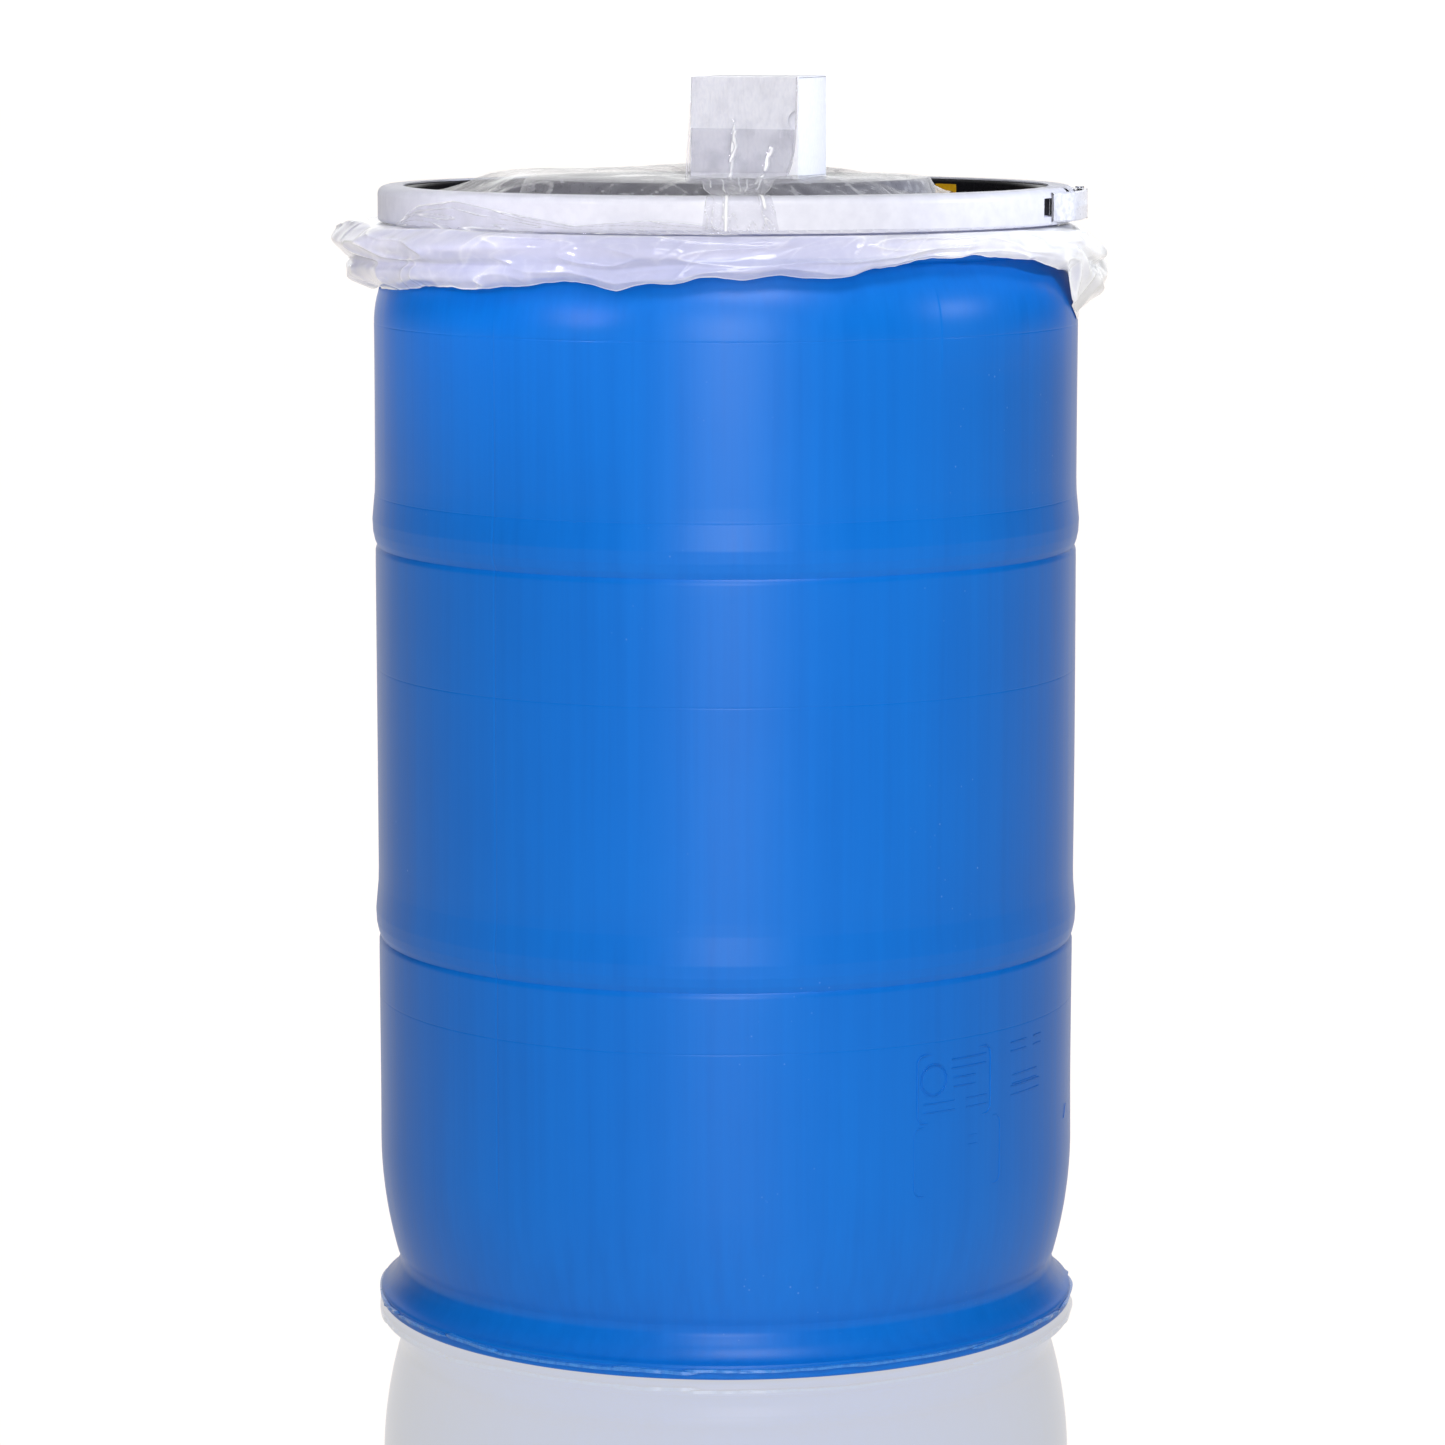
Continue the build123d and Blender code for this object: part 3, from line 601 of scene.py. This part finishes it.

# %% [markdown]
# ## The cuff of film under the ring
# The bag's top was turned out over the mouth and clamped, and what stuck out puffs over the shoulder. Three outlines
# are given: in front it is short, at the left it makes two fat rolls, and at the right it hangs in a tail.
# Every azimuth blends the three, and slanted folds are laid on top. The fold lines also drive the whitening, and a
# painted highlight whitens the right side.

# %% Liner cuff
front_cuff = [
    (274.5, 901.5), (284, 901.6), (288.5, 898), (292.5, 892), (293.5, 885), (292, 879), (292.4, 876), (291, 873),
    (289.5, 871)
]
left_cuff = [
    (274.5, 901.5), (286, 902.5), (306, 903), (327, 889), (318, 877), (304, 871), (308, 864), (303, 853), (290, 846)
]
right_cuff = [
    (274.5, 901.5), (285, 901.3), (298, 896), (312, 883), (314, 873), (306, 866), (312, 855), (303, 838), (292, 824)
]
hem = np.array(
    [(-180, 868), (-150, 861), (-120, 855), (-95, 846), (-66, 852), (-47, 857), (-30, 863), (-24, 865), (-17, 860),
     (-9, 866), (0, 870), (10, 869.5), (20, 872), (27, 876), (34, 883), (43.5, 885), (51.5, 881), (62, 873),
     (70, 866), (75, 838), (80, 825), (86, 829), (93, 842), (104, 856), (125, 866), (150, 871), (180, 868)], float)
cuff_rows, cuff_columns = 72, 1400
cuff_around = np.linspace(-180, 180, cuff_columns, endpoint=False)
three = [smooth_line(line, cuff_rows) * mm for line in (front_cuff, left_cuff, right_cuff)]
to_left = np.clip(1 - (np.abs(turn_between(cuff_around, -92)) / 62) ** 2, 0, 1) ** 1.4
to_right = np.clip(1 - (np.abs(turn_between(cuff_around, 82)) / 30) ** 2, 0, 1) ** 1.5
to_left += 0.30 * bump_at(cuff_around, -38, 16) + 0.18 * bump_at(cuff_around, -12, 9)
to_left = np.clip(to_left, 0, 1)
shape = three[0][:, None, :] + to_left[None, :, None] * (three[1] - three[0])[:, None, :]
shape = shape + to_right[None, :, None] * (three[2] - three[0])[:, None, :]
along = np.linspace(0, 1, cuff_rows)[:, None] * np.ones(cuff_columns)
wanted_low = np.interp(cuff_around, hem[:, 0], hem[:, 1]) * mm
drop = shape[0, :, 1] - shape[-1, :, 1]
shape[:, :, 1] = shape[0, :, 1] - (shape[0, :, 1] - shape[:, :, 1]) * ((shape[0, :, 1] - wanted_low) / drop)[None, :]
slack = 0.35 + 0.65 * np.maximum(to_left, to_right)[None, :] + 0.2 * bump_at(cuff_around, 20, 25)[None, :]
free = smooth_step(along, 0.10, 0.32)


def fold_noise(across_fold, along_fold, slant, seed):
    """Noise on the cuff with folds of that width and length in metres, leaning by slant."""
    turned = np.radians(cuff_around[None, :] + slant * along)
    spots = np.stack(
        [np.sin(turned) * 0.3 / along_fold, np.cos(turned) * 0.3 / along_fold, along * 0.06 / across_fold], axis=-1
    )
    return cloud(spots, 1.0, seed)


rolls = fold_noise(0.022, 0.090, 16, 3.1)
folds = fold_noise(0.015, 0.075, -14, 8.7)
pleats = fold_noise(0.055, 0.026, 9, 5.3)
small = fold_noise(0.012, 0.020, 14, 1.9)
here = smooth_step(fold_noise(0.030, 0.060, 0, 31.0), -0.1, 0.5)
push = 7.0 * rolls + 5.0 * (ridge(folds, 3) - 0.4) + 1.8 * here * (ridge(pleats, 5) - 0.3) + 0.5 * small
push = push * slack * free * mm
lift = (3.2 * fold_noise(0.030, 0.070, 8, 12.4) + 0.6 * small) * slack * free * mm * (1 - 0.4 * along)
hem_wave = (
    2.0 * fold_noise(0.2, 0.030, 0, 21.0) + 0.35 * fold_noise(0.2, 0.009, 0, 23.0)
) * mm * smooth_step(along, 0.75, 1.0)
cuff_radius = shape[:, :, 0] + push
cuff_level = shape[:, :, 1] + lift + hem_wave
cuff_level = np.minimum(cuff_level, np.where(cuff_radius < band_outer + 1.2 * mm, 902.4, 908.0) * mm)
shell_here = np.where(cuff_level > 872 * mm, neck_radius + 1.5 * mm, wall_radius(np.minimum(cuff_level, 872 * mm)))
cuff_radius = np.maximum(cuff_radius, shell_here + 1.0 * mm)
cuff = grid_object("liner_cuff_film", round_axis(cuff_radius, cuff_around[None, :], cuff_level), wrap=True)
fold_lines = 0.80 * ridge(folds, 22) * here + 0.45 * ridge(pleats, 24) * here + 0.20 * ridge(small, 16) * (1 - here)
hem_line = 0.5 * smooth_step(along, 0.975, 0.99) + 0.3 * (1 - smooth_step(along, 0.1, 0.3))
# painted highlight: the cuff's right side, from about 5 to 130 degrees, is whitened where light falls on it
right_side_painted_highlight = 0.38 * smooth_step(cuff_around, 5, 45) * (1 - smooth_step(cuff_around, 95, 130))
bunched_film = 0.12 * np.maximum(to_left, to_right)
set_crease(cuff, fold_lines * slack + hem_line + (right_side_painted_highlight + bunched_film)[None, :])
wear(cuff, liner_film)
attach(cuff, "drum")
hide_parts("liner_cuff")

# a loose fold of the same film has been drawn up over the ring's face at the left
apron_low = 903.0 * mm
apron_around = np.linspace(-66, 2, 260)
apron_up = np.linspace(0, 1, 40)[:, None]
apron_top = np.interp(
    apron_around, [-66, -58, -48, -36, -24, -12, -4, 2], [906, 921, 926, 918, 909, 914, 911, 905.5]
) * mm
apron_level = apron_low + (apron_top - apron_low) * apron_up
arcs = np.stack(
    [
        np.radians(apron_around)[None, :] * 4 + 3.0 * apron_up, apron_up * 1.6 - apron_around[None, :] / 22,
        0 * apron_level
    ],
    axis=-1
)
arc_lines = ridge(cloud(arcs, 1.0, 17.0), 7)
apron_radius = band_outer + (1.3 + 2.2 * (1 - apron_up) + 1.3 * arc_lines) * mm
apron = grid_object("liner_film_over_ring", round_axis(apron_radius, apron_around[None, :], apron_level), wrap=False)
set_crease(
    apron,
    0.7 * arc_lines**3 + 0.45 * smooth_step(apron_up, 0.94, 1.0) + 0.25 * (
        1 - smooth_step(apron_up, 0, 0.3)
    ) + 0 * apron_level
)
wear(apron, clear_film)
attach(apron, "drum")

# %% [markdown]
# ## The film over the lid
# A loose sheet of clear film lies on the lid. The carton holds it down in the middle; elsewhere air lifts it a few
# millimetres, and its edge sinks into the trough. Its ridges run outward from the carton.

# %% Cover film
carton_middle = (27.0 * mm, -22.0 * mm)
carton_hinge = (82.1 * mm, 10.5 * mm)
dome_rows, dome_columns = 90, 420
dome_around = np.linspace(0, 360, dome_columns, endpoint=False)
reach = np.linspace(0, 1, dome_rows)[:, None]
angle = np.radians(dome_around)[None, :]
edge = 0.214 - 0.026 * np.sin(angle) + 0.006 * np.sin(3 * angle + 0.6) + 0.005 * np.sin(7 * angle + 2.0)
dome_radius = reach * edge
dome_x, dome_y = dome_radius * np.sin(angle), -dome_radius * np.cos(angle)
from_carton = np.hypot(dome_x - carton_middle[0], dome_y - carton_middle[1])
under_strip = bump_at(turn_between(np.degrees(angle), 4.0), 0, 16) * (dome_y < 0)
share = dome_radius / edge
puff = smooth_step(from_carton, 0.070, 0.100) * (1 - smooth_step(share, 0.62, 0.90)) * (1 - under_strip)
# the film lies flat where the carton's end panel swings over it
from_hinge = np.hypot(dome_x - carton_hinge[0], dome_y - carton_hinge[1])
swept = (1 - smooth_step(from_hinge, 0.094, 0.114)) * smooth_step(dome_x, 0.030, 0.050)
puff = puff * (1 - swept)
spots = np.stack([dome_x, dome_y, 0 * dome_x], axis=-1)
radial = np.stack([np.sin(angle) * 3 + 0 * dome_x, np.cos(angle) * 3 + 0 * dome_x, dome_radius * 14], axis=-1)
swell = cloud(spots, 0.075, 4.0)
rays = cloud(radial, 1.0, 9.0)
crumple = cloud(spots, 0.022, 6.0)
plateau, trough = 938.9 * mm, 921.5 * mm
settled = plateau - (plateau - trough) * smooth_step(share, 0.76, 1.0) ** 1.2
dome_level = settled + puff * (5.4 + 2.0 * swell + 0.7 * ridge(rays, 4) + 0.5 * crumple) * mm
outside = smooth_step(share, 0.70, 0.95)
dome_level = dome_level + outside * (
    3.5 * np.abs(swell) + 1.0 * ridge(rays, 3) + 0.8 * np.abs(crumple)
) * mm * (1 - under_strip)
dome_level = np.maximum(dome_level, np.interp(dome_radius, [0, 0.1675, 0.180, 0.3], [0.9388, 0.9388, 0.9175, 0.9140]))
dome = grid_object("cover_film_sheet", np.stack([dome_x, dome_y, dome_level], axis=-1), wrap=True)
close_poles(dome)
co = np.empty(len(dome.data.vertices) * 3)
dome.data.vertices.foreach_get("co", co)
co = co.reshape(-1, 3)
turned = np.arctan2(co[:, 0], -co[:, 1])
# glare: two painted highlight patches on the film at the left, stored with its creases
glare = bump_at(co[:, 0], -0.172, 0.022) * bump_at(co[:, 1], -0.072, 0.010)
glare += bump_at(co[:, 0], -0.075, 0.020) * bump_at(co[:, 1], -0.128, 0.006)
again = np.stack([np.sin(turned) * 3, np.cos(turned) * 3, np.hypot(co[:, 0], co[:, 1]) * 14], axis=-1)
flat_spots = np.stack([co[:, 0], co[:, 1], 0 * co[:, 0]], axis=-1)
set_crease(
    dome, 0.7 * glare + 0.40 * ridge(cloud(again, 1.0, 9.0), 24) + 0.25 * ridge(cloud(flat_spots, 0.022, 6.0), 22)
)
wear(dome, clear_film)
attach(dome, "lid")
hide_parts("cover_film")

# %% [markdown]
# ## The film that holds the carton
# A strip of clear film comes down the carton's front, crosses the lid and goes over the ring, where its tail is cut.
# It is pulled tight, so its creases run lengthwise and draw together as it narrows towards the ring.

# %% Hold-down strip and its tail
turn = math.radians(-15)  # the carton stands askew
carton_x = np.array([math.cos(turn), math.sin(turn), 0])
carton_y = np.array([-math.sin(turn), math.cos(turn), 0])
carton_origin = np.array([*carton_middle, 939.3 * mm])


def in_carton(x, y, z):
    """A point in the carton's own directions, in millimetres from the middle of its floor."""
    return carton_origin + (x * carton_x + y * carton_y + np.array([0, 0, z])) * mm


def film_strip(name, centres, lines, columns, ridge_height, seed, lift):
    """A strip of film from a list of (left, right) edge points, creased lengthwise at those shares of its width."""
    rows = len(centres)
    across = np.linspace(0, 1, columns)[None, :, None]
    left = np.array([pair[0] for pair in centres])[:, None, :]
    right = np.array([pair[1] for pair in centres])[:, None, :]
    points = left * (1 - across) + right * across
    run = np.linspace(0, 1, rows)[:, None] * np.ones(columns)
    place = across[:, :, 0] * np.ones((rows, 1))
    drift = np.stack([0 * run + seed, run * 3.5, 0 * run], axis=-1)
    spots = np.stack([place * 7.0, run * 2.2, 0 * run + seed], axis=-1)
    creases = 0.25 * ridge(cloud(spots, 1.0, seed), 9)
    for k, (line, first, last, width) in enumerate(lines):
        here = line + 0.03 * cloud(drift, 1.0, 3.0 * k)
        creases += bump_at(place, here, width) * smooth_step(run, first, first + 0.06) * (
            1 - smooth_step(run, last - 0.06, last)
        )
    creases = np.clip(creases, 0, 1)
    points = points + lift[:, None, :] * (creases[:, :, None] * ridge_height)
    strip = grid_object(name, points, wrap=False)
    set_crease(strip, creases**2 * 0.9 + 0.35 * (np.abs(across[:, :, 0] * np.ones((rows, 1)) - 0.5) > 0.485))
    return strip


front_out = 0.7
left_edge = [
    in_carton(-44.5, -47.5 - front_out, 81.5), in_carton(-45.5, -48.2 - front_out, 50),
    in_carton(-47.5, -49.5 - front_out, 22), in_carton(-48.0, -51.5, 4.0), in_carton(-44, -62, 1.6),
    np.array([-0.020, -0.1625, 0.9406]), np.array([-0.0175, -0.232, 0.9366]), np.array([-0.0125, -0.2635, 0.9336]),
]
right_edge = [
    in_carton(44.5, -47.5 - front_out, 81.5), in_carton(44.3, -48 - front_out, 50),
    in_carton(42.5, -48.6 - front_out, 22), in_carton(38.0, -51.0, 4.0), in_carton(34, -62, 1.6),
    np.array([0.0385, -0.1610, 0.9406]), np.array([0.0345, -0.2300, 0.9366]), np.array([0.0300, -0.2620, 0.9336]),
]
strip_rows = 150
left_line, right_line = smooth_line(left_edge, strip_rows), smooth_line(right_edge, strip_rows)
lift = np.linspace(0, 1, strip_rows)[:, None]
lift = (1 - smooth_step(lift, 0.3, 0.42)) * -carton_y + smooth_step(lift, 0.3, 0.42) * np.array([0, -0.2, 1.0])
strip_creases = [
    (0.43, 0.10, 0.66, 0.020), (0.52, 0.30, 1.0, 0.012), (0.76, 0.26, 0.80, 0.024), (0.82, 0.34, 0.95, 0.012),
    (0.30, 0.50, 1.0, 0.012), (0.63, 0.55, 1.0, 0.012), (0.12, 0.45, 0.9, 0.012),
]
strip = film_strip("hold_down_film", list(zip(left_line, right_line)), strip_creases, 160, 1.0 * mm, 3.7, lift)
wear(strip, carton_film)
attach(strip, "lid")
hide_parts("hold_down_strip")
print("strip area", round(sum(p.area for p in strip.data.polygons), 4))

# a second layer of the same film covers the lower half of the carton's front
second_left = [
    in_carton(-44.0, -49.3 - front_out, 40.5), in_carton(-45.5, -50.0 - front_out, 20), in_carton(-46.0, -52.4, 4.6)
]
second_right = [
    in_carton(43.5, -49.3 - front_out, 39.5), in_carton(42.0, -49.8 - front_out, 20), in_carton(37.5, -52.0, 4.6)
]
second_rows = 40
second_lift = np.ones((second_rows, 1)) * -carton_y
second_edges = list(zip(smooth_line(second_left, second_rows), smooth_line(second_right, second_rows)))
second_creases = [(0.43, 0.0, 0.8, 0.022), (0.77, 0.35, 1.0, 0.028)]
second = film_strip("hold_down_film_second_layer", second_edges, second_creases, 90, 0.6 * mm, 8.1, second_lift)
wear(second, carton_film)
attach(second, "lid")

tail_outline = np.array(
    [(263.5, 933.4), (268, 933.3), (276, 933.2), (281.5, 932.4), (285.4, 929.2), (286.8, 924.5), (287.2, 918),
     (287.0, 910), (287.4, 905.2)]) * mm
tail_rows, tail_columns = 60, 50
tail_line = smooth_line(tail_outline, tail_rows)
spread = np.linspace(0, 1, tail_rows)
share = np.linspace(0, 1, tail_columns)[None, :]
# the tail widens on its way down the ring
tail_turn = (-2.6 - 1.2 * spread)[:, None] * (1 - share) + (6.2 + 2.0 * spread)[:, None] * share
tail_spots = np.stack(
    [share * np.ones((tail_rows, 1)) * 8.0, spread[:, None] * 2.2 * np.ones(tail_columns), 0 * tail_turn], axis=-1
)
tail_crease = 0.8 * ridge(cloud(tail_spots, 1.0, 2.2), 7)
tail_crease += bump_at(share, 0.31, 0.035) * smooth_step(spread, 0.30, 0.40)[:, None]
tail_crease += bump_at(
    share, 0.86, 0.035
) * (smooth_step(spread, 0.20, 0.30) * (1 - smooth_step(spread, 0.60, 0.70)))[:, None]
tail_crease = np.clip(tail_crease, 0, 1)
tail_radius = tail_line[:, 0][:, None] + 1.2 * mm * tail_crease
tail_level = tail_line[:, 1][:, None] + 0.6 * mm * tail_crease
tail = grid_object("strip_tail_film", round_axis(tail_radius, tail_turn, tail_level), wrap=False)
set_crease(tail, tail_crease**2)
wear(tail, clear_film)
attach(tail, "ring")
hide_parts("strip_tail")

# %% [markdown]
# ## The draw plate
# The plate is pressed from one strip of steel. At its hook end it steps in to lie close to the ring, beyond that it
# stands out over the lever, and a rib is pressed along it. Its section is swept along that path.

# %% Draw plate
plate_low, plate_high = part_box("draw_plate")
plate_middle = (plate_low.z + plate_high.z) / 2
plate_half = (plate_high.z - plate_low.z) / 2
plate_start, plate_end = 65.55, 84.4  # azimuths
plate_gap, plate_step = 0.7, 9.15  # millimetres off the ring at the hook, and the step out from there
plate_turn = np.linspace(plate_start, plate_end, 90)
plate_inside = band_outer + (plate_gap + plate_step * smooth_step(plate_turn, 66.4, 71.5)) * mm
plate_steel = 1.2 * mm
section = []
for z in np.linspace(-1, 1, 41):
    tuck = 1.6 * mm * smooth_step(np.abs(np.array(z)), 0.90, 1.0)
    rib = 0.9 * mm * bump_at(np.array(z), 0, 0.20)
    section.append((z, float(plate_steel - tuck), float(rib)))
rib_here = smooth_step(plate_turn, 71.0, 72.5) * (1 - smooth_step(plate_turn, 80.5, 82.0))
outside_rows = [
    round_axis(plate_inside + out + rib * rib_here, plate_turn, plate_middle + z * plate_half)
    for z, out, rib in section
]
inner_half = plate_half - plate_steel
inside_rows = [
    round_axis(plate_inside + min(0.0, out - plate_steel) + rib * rib_here, plate_turn, plate_middle + z * inner_half)
    for z, out, rib in section
]
plate_rows = outside_rows + inside_rows[::-1]
plate = grid_object("draw_plate_pressed", np.stack(plate_rows + plate_rows[:1]), wrap=False)
close_poles(plate)
sharpen(plate, 35)
wear(plate, latch_steel)
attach(plate, "draw_plate")


def ring_block(name, radii, turns, levels, material, body):
    """A block bent round the drum's axis, between pairs of radii, azimuths and heights."""
    around = np.linspace(turns[0], turns[1], 24)
    corners = [(radii[0], levels[0]), (radii[1], levels[0]), (radii[1], levels[1]), (radii[0], levels[1])]
    rows = [round_axis(radius, around, level) for radius, level in corners + corners[:1]]
    block = grid_object(name, np.stack(rows), wrap=False)
    close_poles(block)
    edge = block.modifiers.new("edge", "BEVEL")
    edge.width = 0.3 * mm
    edge.segments = 2
    wear(block, material)
    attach(block, body)
    return block


arm_turns = (84.0, 89.0)
arm_radii = (band_outer + 1.7 * mm, band_outer + 11.0 * mm)
low_arm = (plate_low.z, plate_low.z + plate_steel)
high_arm = (plate_high.z - plate_steel, plate_high.z)
ring_block("draw_plate_arm_low", arm_radii, arm_turns, low_arm, latch_steel, "draw_plate")
ring_block("draw_plate_arm_high", arm_radii, arm_turns, high_arm, latch_steel, "draw_plate")
hook_radii = (band_outer - 1.8 * mm, band_outer + 1.0 * mm)
hook_levels = (plate_middle - 6.5 * mm, plate_middle + 6.5 * mm)
ring_block("draw_plate_hook", hook_radii, (plate_start, 65.8), hook_levels, latch_steel, "draw_plate")
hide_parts("draw_plate")
print("draw plate swept through", round(float(plate_turn[-1] - plate_turn[0]), 1), "degrees")

# %% [markdown]
# ## The CAD pieces that keep their shape
# The ring, the latch, the lid and the carton are shown as the CAD draws them. Each gets its finish, and all but the
# lid, its seal and its tag get a small bevel, so that their edges catch the light.

# %% Finishes for the CAD pieces
finishes = {
    "closing_band": (ring_paint, 0.3),
    "lever_bracket": (ring_paint, 0.2),
    "seal_lug": (ring_paint, 0.2),
    "lever": (latch_steel, 0.3),
    "lever_pin": (pin_zinc, 0.2),
    "toggle_pin": (pin_zinc, 0.2),
    "lid": (lid_black, 0.0),
    "lid_gasket": (seal_foam, 0.0),
    "lid_tag": (tag_vinyl, 0.0),
    "carton": (carton_board, 0.25),
    "carton_end_panel": (carton_board, 0.25),
    "top_dust_flap": (carton_board, 0.2),
    "bottom_dust_flap": (carton_board, 0.2),
}
for name, (material, edge_width) in finishes.items():
    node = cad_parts[name]
    wear(node, material)
    if edge_width:
        rounded = node.modifiers.new("edge", "BEVEL")
        rounded.width = edge_width * mm
        rounded.segments = 2
        rounded.limit_method = "ANGLE"
        rounded.angle_limit = math.radians(40)
print("CAD pieces with finishes:", len(finishes))

# %% [markdown]
# ## Light
# A catalogue picture on pure white. The room is bright behind the drum and darker at its sides, so the sides go deep
# blue and only the very edge picks up white. A large soft box stands behind the camera, a smaller one hangs above, and
# a weak strip stands at the right. Two small lamps with narrow beams lift the carton's right face and the cuff's left.

# %% World, lamps and floor
world = bpy.data.worlds.new("white_room")
bpy.context.scene.world = world
world.use_nodes = True
world.node_tree.nodes.clear()
direction = add(world, "ShaderNodeTexCoord").outputs["Generated"]
parts = add(world, "ShaderNodeSeparateXYZ", {"Vector": direction})
behind = add(
    world, "ShaderNodeMapRange",
    {"Value": parts.outputs["Y"], "From Min": 0.74, "From Max": 0.95, "To Min": 0.03, "To Max": 1.30},
    interpolation_type="SMOOTHSTEP"
)
above = add(
    world, "ShaderNodeMapRange",
    {"Value": parts.outputs["Z"], "From Min": 0.2, "From Max": 0.9, "To Min": 0.0, "To Max": 0.25},
    interpolation_type="SMOOTHSTEP"
)
total = add(world, "ShaderNodeMath", {0: behind.outputs[0], 1: above.outputs[0]}, operation="ADD").outputs[0]
background = add(world, "ShaderNodeBackground", {"Color": (1, 1, 1, 1), "Strength": total})
add(world, "ShaderNodeOutputWorld", {"Surface": background.outputs[0]})


def soft_box(name, place, aim, width, height, power, colour="#FFFFFF"):
    """A rectangular lamp at place, pointed at aim."""
    lamp = bpy.data.lights.new(name, "AREA")
    lamp.shape = "RECTANGLE"
    lamp.size = width
    lamp.size_y = height
    lamp.energy = power
    lamp.color = linear(colour)[:3]
    made = bpy.data.objects.new(name, lamp)
    made.location = place
    made.rotation_euler = (Vector(aim) - Vector(place)).to_track_quat("-Z", "Y").to_euler()
    bpy.context.scene.collection.objects.link(made)
    return made


lamps = [
    soft_box("front_box", (0.1, -5.4, 1.75), (0, 0, 0.5), 1.8, 2.6, 124),
    soft_box("top_box", (0.35, -2.3, 3.0), (0.05, 0, 0.8), 1.2, 0.8, 42),
    soft_box("right_strip", (3.6, -1.2, 1.5), (0, 0, 0.9), 0.4, 1.6, 2),
    soft_box("ring_kicker", (1.1, -0.35, 1.16), (0.1, -0.08, 0.985), 0.12, 0.08, 0.24, "#E6EEFF"),
    soft_box("cuff_kicker", (-0.9, -1.0, 1.2), (-0.22, -0.16, 0.90), 0.12, 0.08, 0.12, "#F4F2FF"),
]
narrow_beam = math.radians(26)
for lamp in lamps[-2:]:
    lamp.data.spread = narrow_beam

floor = grid_object(
    "white_table", np.array([[(x, y, -0.0004) for x in (-60, 60)] for y in (-60, 60)], float), wrap=False
)
table = start_material("gloss_white_table")
glow = add(table, "ShaderNodeEmission", {"Color": (1.0, 0.97, 0.89, 1), "Strength": 0.57})
sheen = add(table, "ShaderNodeBsdfGlossy", {"Color": (0.40, 0.37, 0.38, 1), "Roughness": 0.03})
wear(floor, end_material(table, add(table, "ShaderNodeAddShader", {0: glow.outputs[0], 1: sheen.outputs[0]})))
bpy.context.scene.view_settings.view_transform = "Standard"
print("lamps:", [lamp.name for lamp in lamps])
